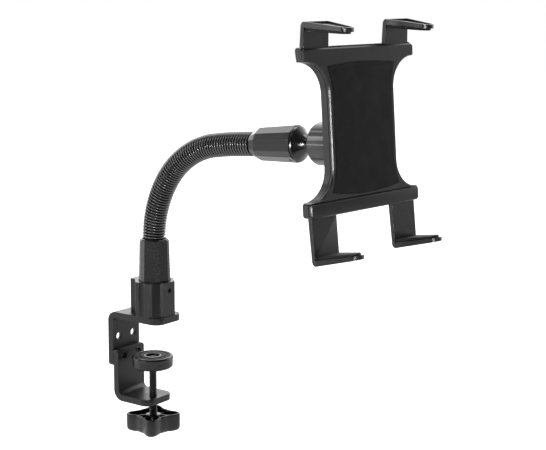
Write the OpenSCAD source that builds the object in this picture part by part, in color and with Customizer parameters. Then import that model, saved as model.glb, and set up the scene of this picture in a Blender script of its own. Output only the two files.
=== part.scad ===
// Clamp-on tablet holder with a gooseneck arm, millimetres.
// Origin: centre of the upper jaw's underside, on the axis of the clamp screw.
// +X runs from the clamp's back towards the tablet, +Z is up.

/* [Clamp brackets] */
// Thickness of both bent plates
plate_t = 5.5; // [4:0.1:6.5]
// Width of both bent plates
bracket_w = 32; // [31:0.5:40]
// Screw axis to the free end of the upper jaw
upper_reach = 20; // [19.5:0.5:30]
// Screw axis to the free end of the lower plate
lower_reach = 9; // [8:0.5:20]
// Screw axis to the inner face of the lower bracket
throat = 24; // [20:0.5:32]
// Upper jaw face down to the end of the upper back plate
upper_drop = 41.1; // [40.5:0.1:50]
// Upper jaw face down to the top edge of the lower bracket
lower_top = 26.1; // [24:0.1:27]
// Upper jaw face down to the underside of the lower plate
lower_drop = 69.9; // [66:0.1:76]
// Outer radius of the upper bend
upper_bend_r = 8; // [7:0.5:10]
// Outer radius of the lower bend
lower_bend_r = 9; // [7:0.5:11]
// Corner radius of the jaws in plan
jaw_corner_r = 8; // [3:0.5:8]
// Corner radius of the back plates
back_corner_r = 3; // [1:0.5:5]
// Spacing of the two bracket holes across the plate
hole_across = 17.4; // [14:0.1:18.6]
// Spacing of the two rows of bracket holes
hole_row_step = 16; // [14:0.1:17.4]
// Upper jaw face down to the first row of holes
hole_first = 16.6; // [15:0.2:18]
// Thread diameter of the bracket screws
bracket_screw_d = 5; // [5:0.5:6.2]
// Diameter of the clearance holes in the upper back plate
bracket_hole_d = 6.2; // [5.6:0.1:7.2]
// Diameter of the seats for the screw heads on the outside
head_seat_d = 12.6; // [11.5:0.1:12.8]
// Depth of the seats for the screw heads
head_seat_depth = 2.4; // [2:0.1:3]

/* [Clamp screw] */
// Thread diameter of the clamp screw
screw_d = 6.35; // [5:0.05:7]
// Diameter of the turned tip inside the pad
screw_tip_d = 4.4; // [3.5:0.1:4.6]
// Upper jaw face down to the top of the pad
pad_gap = 30.2; // [26:0.1:36]
// Diameter of the swivel pad
pad_d = 34.4; // [28:0.5:38]
// Thickness of the swivel pad
pad_t = 10; // [7:0.25:12]
// Width of the pad's raised rim
pad_rim = 2.4; // [1.5:0.1:3]
// Diameter of the recess in the middle of the pad
pad_recess_d = 12; // [10:0.5:14]
// Diameter of the ball bushing inside the pad
pad_ball_d = 9.2; // [8.4:0.1:9.6]
// Upper jaw face down to the open top of the knob
knob_top = 79.8; // [77:0.1:84]
// Height of the knob
knob_h = 14.6; // [10:0.1:16]
// Size of the knob from corner to corner
knob_span = 44.6; // [38:0.2:52]
// Size of the knob from side to side
knob_side = 29.6; // [26:0.2:34]
// Wall of the knob
knob_wall = 1.7; // [1.2:0.1:2.5]
// Diameter of the knob's hub
knob_hub_d = 12.5; // [12:0.5:15]

/* [Socket and lower ferrule] */
// Size of the octagonal socket across its flats
socket_af = 32; // [31.5:0.25:38]
// Height of the socket above the upper plate
socket_h = 28.2; // [25:0.5:34]
// Offset of the socket and the arm from the screw axis
arm_x = 3; // [0:0.1:4]
// Radius of the ferrule's corners where it leaves the socket
ferrule_low_r = 13.3; // [12.8:0.1:13.6]
// Radius of the ferrule's corners at its upper end
ferrule_top_r = 12.2; // [11.5:0.1:13]
// Height of the ferrule above the socket
ferrule_h = 34.7; // [28:0.5:42]
// Diameter of the grub screws
grub_d = 4; // [3:0.1:4.4]

/* [Gooseneck] */
// Outer diameter of the wound cover
cover_d = 19.2; // [18.4:0.1:19.6]
// Diameter of the winding wire
wire_d = 1.7; // [1.5:0.05:1.8]
// Distance from one turn to the next
coil_pitch = 2.5; // [2.4:0.05:3]
// Radius of the first, lower bend
bend1_r = 88.65; // [80:0.05:120]
// Angle of the first bend
bend1_turn = 34.05; // [24:0.05:40]
// Radius of the main bend
bend2_r = 71.6; // [66:0.2:90]
// Angle of the main bend
bend2_turn = 47.8; // [40:0.1:56]
// Radius of the last, nearly straight stretch
bend3_r = 325; // [250:5:400]
// Angle of the last stretch
bend3_turn = 4.6; // [3:0.1:6]
// Straight end before the upper ferrule
neck_tail = 13.8; // [12:0.1:24]
// Most that each neck joint bends
neck_limit = 15; // [5:1:15]

/* [Upper ferrule and ball joint] */
// Length of the upper ferrule
upper_ferrule_l = 39.8; // [34:0.5:46]
// Corner radius of the upper ferrule at its shoulder
shoulder_r = 12.75; // [12:0.05:13.5]
// Corner radius of the upper ferrule at the ball end
mouth_r = 14.3; // [13.6:0.1:15]
// Length of the chamfer at the neck end
shoulder_l = 6.5; // [4:0.5:9]
// Upper ferrule's end to the centre of the ball
stud_l = 24.3; // [23.5:0.1:30]
// Radius of the stud's flared rim
stud_rim_r = 13.5; // [12:0.1:13.6]
// Diameter of the ball
ball_d = 17; // [16.6:0.1:17.4]
// Radius of the neck behind the ball
ball_neck_r = 4.2; // [3.5:0.1:4.2]
// Outer diameter of the ball nut
nut_d = 32; // [30:0.5:35]
// Length of the ball nut
nut_l = 24; // [22:0.5:24.5]
// Ball centre to the open end of the nut
nut_lead = 6; // [5.8:0.1:6.4]
// Number of shallow flutes round the nut
nut_ribs = 10; // [6:1:16]
// Depth of the nut's flutes
flute_sunk_depth = 0.35; // [0.2:0.05:0.6]

/* [Holder position] */
// Turn of the holder about its upright axis
holder_yaw = -9; // [-16:0.5:16]
// Backward lean of the holder
holder_pitch = 3.1; // [-6:0.1:10]
// Roll of the holder about its facing axis
holder_roll = 1.3; // [-20:0.5:20]
// Ball centre to the front face of the holder
face_n = 38.1; // [37.8:0.1:46]

/* [Holder body] */
// Depth of the holder body
body_d = 8.4; // [8.4:0.1:9]
// Thickness of the front plate of the body and of the bar
front_plate_t = 2.4; // [2.2:0.1:2.8]
// Depth of the joint line between the back and the front plate
joint_depth = 0.5; // [0.3:0.1:0.8]
// Ball centre up to the top edge
top_h = 70.9; // [66:0.2:80]
// Ball centre down to the lower edge of the body
body_low = 35.8; // [32:0.1:40]
// Height of the movable bar
bar_h = 10.2; // [9:0.1:12]
// Half width at the ends
end_w = 58.2; // [53.5:0.5:60]
// Height of the upper end blocks
end_h = 10; // [8.6:0.1:11]
// Half width at the waist
waist_w = 34.6; // [31:0.1:36]
// Radius of the upper flares
flare_top_r = 22.6; // [15:0.2:23]
// Radius of the lower flares
flare_low_r = 22; // [15:0.2:22.4]
// Corner radius of the ends
end_corner_r = 2.5; // [1:0.25:3]
// Thickness of the soft front pad
front_pad_t = 1.8; // [1.5:0.1:2]
// Depth of the recess that holds the front pad
front_pad_depth = 1.4; // [1:0.1:1.4]
// Inset of the pad from the waist
front_pad_inset = 2.9; // [2:0.1:5]
// Top edge of the body down to the pad's upper corners
pad_top_inset = 13.7; // [12:0.1:20]
// Lower edge of the body up to the pad's lower corners
pad_low_inset = 5.2; // [4:0.1:12]
// Rise of the pad's upper edge to its middle
crest = 2.2; // [0.5:0.1:3]
// Sag of the pad's lower edge at its middle
belly = 3.2; // [0.5:0.1:3.6]

/* [Jaw slide] */
// Half width of the sliding plate
slider_w = 21; // [18:0.5:22]
// Thickness of the sliding plate
slider_t = 3.3; // [2.8:0.1:3.3]
// Travel of the movable bar
jaw_travel = 50; // [36:1:52]
// Length of the sliding plate that stays in the body at full travel
slider_hold_l = 20; // [16:0.5:24]
// Diameter of the springs
spring_d = 3.2; // [2.8:0.1:3.3]
// Wire diameter of the springs
spring_wire = 0.5; // [0.4:0.05:0.6]
// Distance from one spring turn to the next
spring_pitch = 2.2; // [1.8:0.1:2.6]

/* [Legs] */
// Width of each leg
leg_w = 25; // [20:0.5:26]
// Middle of each leg to the end of the body
leg_inset = 15.4; // [14.5:0.1:18]
// Travel of each leg towards the middle
leg_travel = 12.5; // [5:0.5:12.5]
// Thickness of the stem where it leaves its channel
stem_t = 3.8; // [3.4:0.1:3.9]
// Thickness of the stem at the foot
stem_top_t = 3; // [2.4:0.1:3.4]
// Forward lean of the stem over its height
stem_lean = 1; // [0:0.1:2]
// Height of the upper legs above the top edge
upper_leg_h = 17.2; // [14:0.1:30]
// Height of the lower legs below the bar
lower_leg_h = 33.2; // [20:0.1:40]
// Reach of the feet in front of the holder's face
foot_reach = 30; // [26:0.5:40]
// Thickness of the foot
foot_t = 3.6; // [2.6:0.1:4]
// Depth of the shallow tray in the foot's outer side
foot_tray_depth = 0.9; // [0.4:0.1:1.2]
// Inward slope of the feet, in degrees
foot_slope = 9.3; // [2:0.1:11]
// Half width of the foot at its tip
foot_tip_w = 6.5; // [5:0.25:8]
// Thickness of the rubber grips
grip_t = 2.2; // [1.2:0.1:2.5]

/* [Fits] */
// Gap of a turning or sliding fit
run_gap = 0.05; // [0.03:0.01:0.08]
// Gap between fixed parts
fix_gap = 0.1; // [0.05:0.01:0.15]
// Gap beside a soft or wound part
soft_gap = 0.3; // [0.3:0.05:0.5]
// Gap between plates that slide
slide_gap = 0.15; // [0.1:0.01:0.2]

/* [Hidden] */
$fn = 48;

steel_black = [0.09, 0.09, 0.095];
plastic_black = [0.11, 0.11, 0.115];
rubber_black = [0.06, 0.06, 0.062];
satin_black = [0.2, 0.2, 0.21];
bare_steel = [0.45, 0.45, 0.46];

// Clamp geometry worked out from the plates
lower_outer_x = -(throat + plate_t);
upper_outer_x = -(throat + 2*plate_t);
hole_second = hole_first + hole_row_step;
// The bracket screws' tips stay below the lower bracket's inner face
tip_recess = 1;
tip_chamfer = 1.2;
mouth_chamfer = 0.5;
bracket_head_r = head_seat_d/2 - 1;
bracket_head_h = head_seat_depth - 0.4;
bracket_screw_l = 2*plate_t - head_seat_depth + bracket_head_h - tip_recess;
countersink_margin = 0.2;
lower_plate_top = lower_drop - plate_t;

// Clamp screw and pad, heights below the jaw face
pad_centre_depth = 4.8;
pad_edge = 1.2;
pad_ring_wall = 1.2;
pad_bottom = pad_gap + pad_t;
pad_centre = pad_gap + pad_centre_depth;
pad_ball_r = pad_ball_d/2;
bushing_half = 2.6;
bushing_seat_low = 2.1;
screw_shoulder = pad_centre + bushing_half + run_gap;
clip_t = 0.6;
clip_r = screw_tip_d/2 + 1.3;
clip_depth = pad_centre - bushing_half - run_gap;
tip_end = clip_depth - clip_t - 0.6;
grip_ring_t = 1.8;
grip_ring_sunk = 1.5;
knob_bottom = knob_top + knob_h;
knob_floor = 3;
knob_turn = 36;
knob_steps = 72;
nut_seat = 2.6;
knob_nut_af = screw_d*1.75;
web_t = 1.4;
web_drop = 2.2;

// Socket and ferrules
socket_base = plate_t;
socket_top = plate_t + socket_h;
socket_floor_t = 6.5;
socket_bore_floor = socket_base + socket_floor_t;
socket_spigot_r = 11;
collar_depth = 4;
collar_gap = 0.3;
socket_screw_r = 2;
socket_head_r = 4;
socket_head_h = 2;
socket_screw_hold = 4.5;
socket_screw_x = 9;
socket_grub_drop = 7;
socket_grub_z = socket_top - socket_grub_drop;
flute_r = 14;
flute_depth = 0.4;
lug_t = 5.2;
lug_w = 14;
lug_r = 1.2;
ferrule_top = socket_top + ferrule_h;
ferrule_turn = -10;
ferrule_chamfer = 1.2;
cup_depth = 1.2;
// Half angle of a wide flat on the ferrules' chamfered hexagon
flat_half = 19;

// Gooseneck centre line: three arcs and a straight end, bending towards +X
cover_r = cover_d/2;
wire_r = wire_d/2;
coil_sides = 6;
coil_rings = 8;
coil_r = cover_r - wire_r;
core_r = coil_r*cos(180/coil_rings) - wire_r - soft_gap;
core_insert = 17;
core_sides = 12;
core_step = 6;
core_caps = 3;
neck_start = [arm_x, ferrule_top];
arc1_l = bend1_r*bend1_turn*PI/180;
arc2_l = bend2_r*bend2_turn*PI/180;
arc3_l = bend3_r*bend3_turn*PI/180;
neck_l = arc1_l + arc2_l + arc3_l + neck_tail;
heading1 = 90 - bend1_turn;
heading2 = heading1 - bend2_turn;
arm_lift = heading2 - bend3_turn;
arc1_end = arc_step(neck_start, bend1_r, 90, heading1);
arc2_end = arc_step(arc1_end, bend2_r, heading1, heading2);
arc3_end = arc_step(arc2_end, bend3_r, heading2, arm_lift);
neck_end = arc3_end + neck_tail*[cos(arm_lift), sin(arm_lift)];
joint_low = 24;
joint_mid = arc1_l + arc2_l/2;
joint_high = arc1_l + arc2_l + 8;
// Bare stretch of core on each side of a neck joint, so that bending closes no turns
seam_back = wire_r + 0.5;
seam_front = wire_r + (cover_r*sin(neck_limit) + 0.4 - 0.5)/cos(neck_limit);

// Ball joint, measured along the holder's facing axis
ball_r = ball_d/2;
nut_lip_r = 8.9;
nut_lip_t = 1.4;
liner_t = 1.25;
liner_r = ball_r + run_gap + liner_t;
liner_back = 5;
liner_front = 6;
ring_r = 11.4;
ring_back = nut_lead - nut_lip_t - run_gap;
ring_front = 7;
boss_r = 12.6;
boss_flange_r = 20;
boss_flange_t = 8;
boss_bore_r = ball_r;
boss_bore_l = 6;
boss_start = ring_front + run_gap;
nut_r = nut_d/2;
nut_round = 2.4;
nut_flute_r = 5;
flute_start = 11;
stud_spigot_r = 6;
stud_spigot_l = 13;
rim_t = 2;
flare_l = 12;
flare_power = 1.8;
flare_steps = 12;
arm_dir = [cos(arm_lift), 0, sin(arm_lift)];
ferrule_start = [neck_end[0], 0, neck_end[1]];
ferrule_grub_l = upper_ferrule_l - 3.4;
ferrule_grub_r = grub_d*0.3;
ball_centre = ferrule_start + (upper_ferrule_l + stud_l)*arm_dir;

// Holder body, measured in its own frame: facing axis, width, height
back_n = face_n - body_d;
split_n = face_n - front_plate_t;
slide_back_n = split_n - slider_t - 2*slide_gap;
joint_w = 0.5;
stem_back_n = back_n + 1.7;
stem_front_n = stem_back_n + stem_t;
bar_low = body_low + bar_h;
jaw_gap = 0.2;
tip_t = 0.6;
flare_top = min(flare_top_r, end_w - waist_w);
flare_low = min(flare_low_r, end_w - waist_w);
under_end = top_h - end_h;
leg_offset = end_w - leg_inset;
arc_steps = 12;
wall = 2;
root_back = 0.4;
root_front = 1.6;
slot_front = 1.2;
root_h = 5;
root_side = 1.5;
channel_w = leg_offset + leg_w/2 + root_side + 0.1;
pocket_top = under_end - 1.8;
slider_pin_r = 1.3;
spring_w = 10;
shell_peg_h = pocket_top - 3;
slider_top = jaw_travel - body_low + slider_hold_l;
slider_step = 6;
tab_end_w = 4;
slider_peg_h = slider_top - slider_pin_r - 0.4;
spring_foot = slider_top + soft_gap;
spring_l = shell_peg_h - slider_pin_r - soft_gap - spring_foot;
tab_w = 12;
tab_screw_w = 7;
small_screw_r = 1.25;
small_head_r = 2.3;
small_head_h = 1.5;
boss_screw_pcd = 26;
boss_screw_l = 9;
shell_screw_w = waist_w - 5;
shell_screw_heights = [-16, 44];
shell_screw_l = body_d - front_pad_depth - 0.9;
shell_post_r = 2.6;
shell_post_start = back_n + 3.2;
slider_screw_l = body_d - 1;
pad_flare = 4.5;
pad_low_rise = 22;
pad_top_rise = 20;
pad_top_h = top_h - pad_top_inset;
pad_low_h = body_low - pad_low_inset;

// Foot lengths from the stem's back face
foot_tip_n = face_n + foot_reach;
corner_r = 3.5;
foot_back_n = stem_front_n + stem_lean - stem_top_t;
tray_rim = 1.4;
grip_short = 2.5;
grip_edge = 0.8;

// End of an arc that turns clockwise from one heading to another
function arc_step(p, r, a0, a1) = p + r*[sin(a0) - sin(a1), cos(a1) - cos(a0)];

// Points along an arc
function arc_pts(cx, cy, r, a0, a1, n) =
  [for (i = [0:n]) [cx + r*cos(a0 + (a1 - a0)*i/n), cy + r*sin(a0 + (a1 - a0)*i/n)]];

// Heading of the gooseneck at a distance along it
function heading(s) =
  s < 0 ? 90
  : s < arc1_l ? 90 - bend1_turn*s/arc1_l
  : s < arc1_l + arc2_l ? heading1 - bend2_turn*(s - arc1_l)/arc2_l
  : s < neck_l - neck_tail ? heading2 - bend3_turn*(s - arc1_l - arc2_l)/arc3_l
  : arm_lift;

// Point of the gooseneck's centre line, as [x, z]
function neck_point(s) =
  s < 0 ? neck_start + [0, s]
  : s < arc1_l ? arc_step(neck_start, bend1_r, 90, heading(s))
  : s < arc1_l + arc2_l ? arc_step(arc1_end, bend2_r, heading1, heading(s))
  : s < neck_l - neck_tail ? arc_step(arc2_end, bend3_r, heading2, heading(s))
  : arc3_end + (s - neck_l + neck_tail)*[cos(arm_lift), sin(arm_lift)];

function neck_3d(s) = [neck_point(s)[0], 0, neck_point(s)[1]];

// Outward direction of the winding at a distance along the neck
function coil_out(s) =
  let (a = heading(s), turn = 360*s/coil_pitch)
  [-sin(a)*cos(turn), sin(turn), cos(a)*cos(turn)];

function coil_point(s) = neck_3d(s) + coil_r*coil_out(s);

function ring_count(s0, s1) = max(2, round((s1 - s0)/coil_pitch*coil_rings));

// Least gap between one turn and the next, measured on the rings' centres
function coil_gap(s0, s1) =
  let (n = ring_count(s0, s1), ds = (s1 - s0)/n)
  min([for (i = [0:n - coil_rings]) for (k = [-1:1])
    i + coil_rings + k > n ? 1000
    : norm(coil_point(s0 + (i + coil_rings + k)*ds) - coil_point(s0 + i*ds))]) - wire_d;

// Faces of a closed tube from its first ring to its last, ring n, with the same corners on each
function tube_faces(n, sides) =
  let (last = n*sides)
  concat(
    [for (k = [1:sides - 2]) [0, k, k + 1]],
    [for (k = [1:sides - 2]) [last, last + k + 1, last + k]],
    [for (i = [0:n - 1]) for (k = [0:sides - 1])
      let (a = i*sides + k, b = i*sides + (k + 1) % sides)
      [a, a + sides, b]],
    [for (i = [0:n - 1]) for (k = [0:sides - 1])
      let (a = i*sides + k, b = i*sides + (k + 1) % sides)
      [b, a + sides, b + sides]]
  );

// Corners of a round ring across the neck at a distance along it, moved on by a straight step
function core_ring(s, step, r) =
  let (a = heading(s))
  [for (k = [0:core_sides - 1])
    let (e = 360*k/core_sides)
    neck_3d(s) + step*[cos(a), 0, sin(a)] + r*[-sin(a)*cos(e), -sin(e), cos(a)*cos(e)]];

// Half outline of the body, from its lower edge round the waist to its upper corner
function side_pts(inset) =
  let (
    low_cy = -body_low + tip_t + flare_low,
    low_r = flare_low + inset,
    low_x = waist_w + flare_low,
    top_x = waist_w + flare_top,
    top_cy = under_end - flare_top,
    top_r = flare_top + inset,
    ratio = (low_cy + body_low)/low_r,
    tip_x = ratio >= 1 ? end_w - inset : low_x - low_r*cos(asin(ratio)) - 1,
    edge = end_w - inset,
    reach = (top_x - edge)/top_r,
    corner = max(end_corner_r - inset, 0.3)
  )
  concat(
    [[tip_x, -body_low]],
    arc_pts(low_x, low_cy, low_r, ratio >= 1 ? 270 : 180 + asin(ratio), 180, arc_steps),
    arc_pts(top_x, top_cy, top_r, 180, reach > 0 ? 180 - acos(reach) : 90, arc_steps),
    arc_pts(edge - corner, top_h - inset - corner, corner, 0, 90, 5)
  );

function mirrored(pts) = [for (i = [len(pts) - 1:-1:0]) [-pts[i][0], pts[i][1]]];

function body_outline(inset = 0) = concat(side_pts(inset), mirrored(side_pts(inset)));

// Front pad outline: crest at the top, belly at the bottom, sides along the waist
function pad_outline(inset = 0) =
  let (
    w = waist_w - front_pad_inset - inset,
    top = pad_top_h - inset,
    low = -pad_low_h + inset,
    flare = pad_flare,
    right = concat(
      [for (i = [0:8]) [(w + flare)*i/8, low - belly*(1 - pow(i/8, 2))]],
      [for (i = [1:7]) [w + flare*pow(1 - i/7, 2), low + pad_low_rise*i/7]],
      [for (i = [1:7]) [w + flare*pow(i/7, 2), top - pad_top_rise*(1 - i/7)]],
      [for (i = [7:-1:1]) [(w + flare)*i/8, top + crest*(1 - pow(i/8, 2))]]
    )
  )
  concat(right, [for (i = [len(right) - 1:-1:0]) [-max(right[i][0], 0.01), right[i][1]]]);

// Knob outline: four rounded corner lobes joined by hollowed sides
function knob_outline(inset = 0) =
  [for (i = [0:knob_steps - 1])
    let (a = 360*i/knob_steps,
         r = knob_side/2 + (knob_span - knob_side)/2*pow(cos(2*a), 4) - inset)
    [r*cos(a), r*sin(a)]];

// Hexagon with chamfered corners
function ferrule_section(r) =
  [for (k = [0:5]) for (s = [-1, 1]) [r*cos(60*k + s*flat_half), r*sin(60*k + s*flat_half)]];

// A chamfered hexagon that changes size along z, from rings of [height, radius]
module loft(rings) {
  points = [for (ring = rings) for (corner = ferrule_section(ring[1])) [corner[0], corner[1], ring[0]]];
  polyhedron(points, tube_faces(len(rings) - 1, 12));
}

// Plan of a foot, stem at low x, rounded tip at high x
function foot_plan(inset, tip_n) =
  let (w = leg_w/2 - inset, t = foot_tip_w - inset, neck = face_n - 1)
  concat(
    [[stem_back_n - 2, -w], [neck, -w]],
    arc_pts(tip_n - t, 0, t, -70, 70, 10),
    [[neck, w], [stem_back_n - 2, w]]
  );

// Side view of a leg: height grows outwards from the channel's edge
function leg_side(h) =
  let (top_tip = h - (foot_tip_n - stem_back_n)*tan(foot_slope),
       inner = h - foot_t - (stem_front_n - stem_back_n)*tan(foot_slope))
  concat(
    [[stem_back_n, 0], [foot_back_n, h - corner_r]],
    arc_pts(foot_back_n + corner_r, h - corner_r, corner_r, 180, 90 + foot_slope, 6),
    [[foot_tip_n, top_tip], [foot_tip_n, top_tip - foot_t*0.8]],
    [[stem_front_n + stem_lean, inner], [stem_front_n, 0]]
  );

function tray_side(h) =
  let (n0 = foot_back_n + corner_r, n1 = foot_tip_n, t0 = h - (n0 - stem_back_n)*tan(foot_slope),
       t1 = h - (n1 - stem_back_n)*tan(foot_slope))
  [[n0, t0 - foot_tray_depth], [n1, t1 - foot_tray_depth], [n1, t1 + 3], [n0, t0 + 3]];

function grip_side(h) =
  let (slope = tan(foot_slope),
       n0 = stem_front_n + stem_lean + soft_gap + 0.4,
       n1 = foot_tip_n - grip_short,
       tip_low = h - (foot_tip_n - stem_back_n)*slope - foot_t*0.8,
       base_low = h - foot_t - (stem_front_n - stem_back_n)*slope,
       low0 = base_low + (tip_low - base_low)*(n0 - stem_front_n)/(foot_tip_n - stem_front_n),
       low1 = base_low + (tip_low - base_low)*(n1 - stem_front_n)/(foot_tip_n - stem_front_n))
  [[n0, low0], [n1, low1], [n1, low1 - grip_t*0.75], [n0, low0 - grip_t]];

// Frames
module holder_frame() {
  translate(ball_centre) rotate([holder_roll, -holder_pitch, holder_yaw]) children();
}

module arm_frame(l = 0) {
  translate(ferrule_start + l*arm_dir) rotate([0, 90 - arm_lift, 0]) children();
}

// A flat outline of width and height, standing between two distances in front of the ball
module upright(n0, n1) {
  translate([n0, 0, 0]) rotate([90, 0, 90]) linear_extrude(n1 - n0) children();
}

// A box in the holder's frame
module holder_box(n0, n1, w0, w1, h0, h1) {
  translate([n0, w0, h0]) cube([n1 - n0, w1 - w0, h1 - h0]);
}

module rounded_plate(length, width, r) {
  translate([-r, 0]) square([2*r, width - 2*r], center = true);
  translate([-length/2 - r/2, 0]) square([length - r, width], center = true);
  for (s = [-1, 1]) translate([-r, s*(width/2 - r)]) circle(r);
}

// Side view of a bent plate: back at x = 0, bend at the origin's corner, run along +x
module bent_side(run, drop, r) {
  difference() {
    union() {
      translate([r, 0]) square([run - r, plate_t]);
      translate([0, r]) square([plate_t, drop - r]);
      intersection() {
        translate([r, r]) circle(r);
        square([r, r]);
      }
    }
    translate([plate_t, plate_t]) square([run, drop]);
  }
  inner = max(r - plate_t, 0.5);
  translate([plate_t, plate_t]) difference() {
    square([inner, inner]);
    translate([inner, inner]) circle(inner);
  }
}

module countersunk(r, head_r, head_h, l) {
  cylinder(h = head_h, r1 = head_r, r2 = r);
  cylinder(h = l, r = r);
}

// The hole for a countersunk screw, wider by a gap and open past its face
module countersunk_hole(r, head_r, head_h, l) {
  translate([0, 0, -countersink_margin]) cylinder(h = countersink_margin + fix_gap, r = head_r + fix_gap);
  translate([0, 0, fix_gap]) cylinder(h = head_h, r1 = head_r + fix_gap, r2 = r + fix_gap);
  cylinder(h = l, r = r + fix_gap);
}

module flat_screw(r, head_r, head_h, l) {
  difference() {
    countersunk(r, head_r, head_h, l);
    translate([0, 0, -1]) cylinder(h = 1 + head_h*0.75, r = r*0.75, $fn = 6);
  }
}

module grub(r, l) {
  difference() {
    cylinder(h = l, r = r);
    translate([0, 0, l - 1.5]) cylinder(h = 2, r = r*0.55, $fn = 6);
  }
}

// Clamp
module upper_bracket() {
  color(steel_black) difference() {
    intersection() {
      translate([upper_outer_x, bracket_w/2, plate_t]) rotate([90, 0, 0]) linear_extrude(bracket_w)
        mirror([0, 1]) bent_side(upper_reach - upper_outer_x, upper_drop + plate_t, upper_bend_r);
      union() {
        translate([upper_reach, 0, -plate_t]) linear_extrude(3*plate_t)
          rounded_plate(upper_reach - upper_outer_x + 1, bracket_w, jaw_corner_r);
        translate([upper_outer_x - 1, 0, -upper_drop]) rotate([0, -90, 180])
          linear_extrude(plate_t + upper_bend_r) mirror([1, 0])
            rounded_plate(upper_drop - plate_t + 1, bracket_w, back_corner_r);
      }
    }
    for (s = [-1, 1]) {
      for (h = [hole_first, hole_second]) translate([upper_outer_x - 1, s*hole_across/2, -h])
        rotate([0, 90, 0]) {
          cylinder(h = plate_t + 2, r = bracket_hole_d/2);
          cylinder(h = head_seat_depth + 1, r = head_seat_d/2);
        }
      translate([arm_x + s*socket_screw_x, 0, 0])
        countersunk_hole(socket_screw_r, socket_head_r, socket_head_h, plate_t + 1);
    }
  }
}

module lower_bracket() {
  color(steel_black) difference() {
    intersection() {
      translate([lower_outer_x, bracket_w/2, -lower_drop]) rotate([90, 0, 0]) linear_extrude(bracket_w)
        bent_side(lower_reach - lower_outer_x, lower_drop - lower_top, lower_bend_r);
      union() {
        translate([lower_reach, 0, -lower_drop - plate_t]) linear_extrude(2.6*plate_t)
          rounded_plate(lower_reach - lower_outer_x + 1, bracket_w, jaw_corner_r);
        translate([lower_outer_x - 1, 0, -lower_top]) rotate([0, -90, 180])
          linear_extrude(plate_t + lower_bend_r)
            rounded_plate(lower_drop - lower_top - plate_t, bracket_w, back_corner_r);
      }
    }
    for (s = [-1, 1])
      translate([lower_outer_x - 1, s*hole_across/2, -hole_second]) rotate([0, 90, 0]) {
        cylinder(h = plate_t + 2, r = bracket_screw_d/2 + fix_gap);
        translate([0, 0, 1 + plate_t - mouth_chamfer]) cylinder(h = 2*mouth_chamfer,
          r1 = bracket_screw_d/2 + fix_gap, r2 = bracket_screw_d/2 + fix_gap + 2*mouth_chamfer);
      }
    translate([0, 0, -lower_drop - 1]) cylinder(h = plate_t + 2, r = screw_d/2 + run_gap);
  }
}

module bracket_screws() {
  head_x = upper_outer_x + head_seat_depth - bracket_head_h;
  color(satin_black) for (s = [-1, 1])
    translate([head_x, s*hole_across/2, -hole_second]) rotate([0, 90, 0]) difference() {
      union() {
        cylinder(h = bracket_head_h, r = bracket_head_r);
        cylinder(h = bracket_screw_l - tip_chamfer, r = bracket_screw_d/2);
        translate([0, 0, bracket_screw_l - tip_chamfer])
          cylinder(h = tip_chamfer, r1 = bracket_screw_d/2, r2 = bracket_screw_d/2 - tip_chamfer);
      }
      translate([0, 0, -1]) cylinder(h = 1 + bracket_head_h*0.75, r = bracket_screw_d/2, $fn = 6);
    }
}

module clamp_screw() {
  color(satin_black) {
    translate([0, 0, -knob_bottom + 0.4]) cylinder(h = knob_bottom - 0.4 - screw_shoulder, r = screw_d/2);
    translate([0, 0, -screw_shoulder]) cylinder(h = screw_shoulder - tip_end, r = screw_tip_d/2);
  }
}

module pad_clip() {
  color(bare_steel) translate([0, 0, -clip_depth]) difference() {
    cylinder(h = clip_t, r = clip_r);
    translate([0, 0, -1]) cylinder(h = clip_t + 2, r = screw_tip_d/2 + run_gap);
  }
}

module pad_bushing() {
  color(satin_black) translate([0, 0, -pad_centre]) difference() {
    intersection() {
      sphere(pad_ball_r);
      cylinder(h = 2*bushing_half, r = pad_ball_r + 1, center = true);
    }
    cylinder(h = 4*bushing_half, r = screw_tip_d/2 + run_gap, center = true);
  }
}

module clamp_pad() {
  color(plastic_black) translate([0, 0, -pad_bottom]) difference() {
    rotate_extrude() polygon([[0, 0], [pad_d/2 - pad_edge*1.6, 0], [pad_d/2 - pad_edge*0.5, pad_edge],
      [pad_d/2 - pad_edge*0.3, pad_t - 2.4*pad_edge], [pad_d/2, pad_t - 1.4*pad_edge],
      [pad_d/2 - 0.4*pad_edge, pad_t - 0.25*pad_edge], [pad_d/2 - 0.9*pad_edge, pad_t], [0, pad_t]]);
    translate([0, 0, pad_bottom - pad_centre]) sphere(pad_ball_r + run_gap);
    translate([0, 0, -1]) cylinder(h = pad_bottom - pad_centre - bushing_seat_low + 1, r = screw_d/2 + 1);
    translate([0, 0, pad_bottom - pad_centre + bushing_seat_low - 0.2])
      cylinder(h = pad_t, r = pad_recess_d/2);
    translate([0, 0, pad_t - grip_ring_sunk])
      difference() {
        cylinder(h = grip_ring_sunk + 1, r = pad_d/2 - pad_rim);
        translate([0, 0, -1]) cylinder(h = grip_ring_sunk + 3, r = pad_recess_d/2 + pad_ring_wall);
      }
  }
}

module pad_grip() {
  color(rubber_black) translate([0, 0, -pad_gap - grip_ring_sunk]) difference() {
    cylinder(h = grip_ring_t, r = pad_d/2 - pad_rim - fix_gap);
    translate([0, 0, -1]) cylinder(h = grip_ring_t + 2, r = pad_recess_d/2 + pad_ring_wall + fix_gap);
    translate([0, 0, grip_ring_t - 0.6]) difference() {
      cylinder(h = 1, r = pad_d/2 - pad_rim - 2.4);
      translate([0, 0, -1]) cylinder(h = 3, r = pad_d/2 - pad_rim - 3.6);
    }
  }
}

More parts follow.
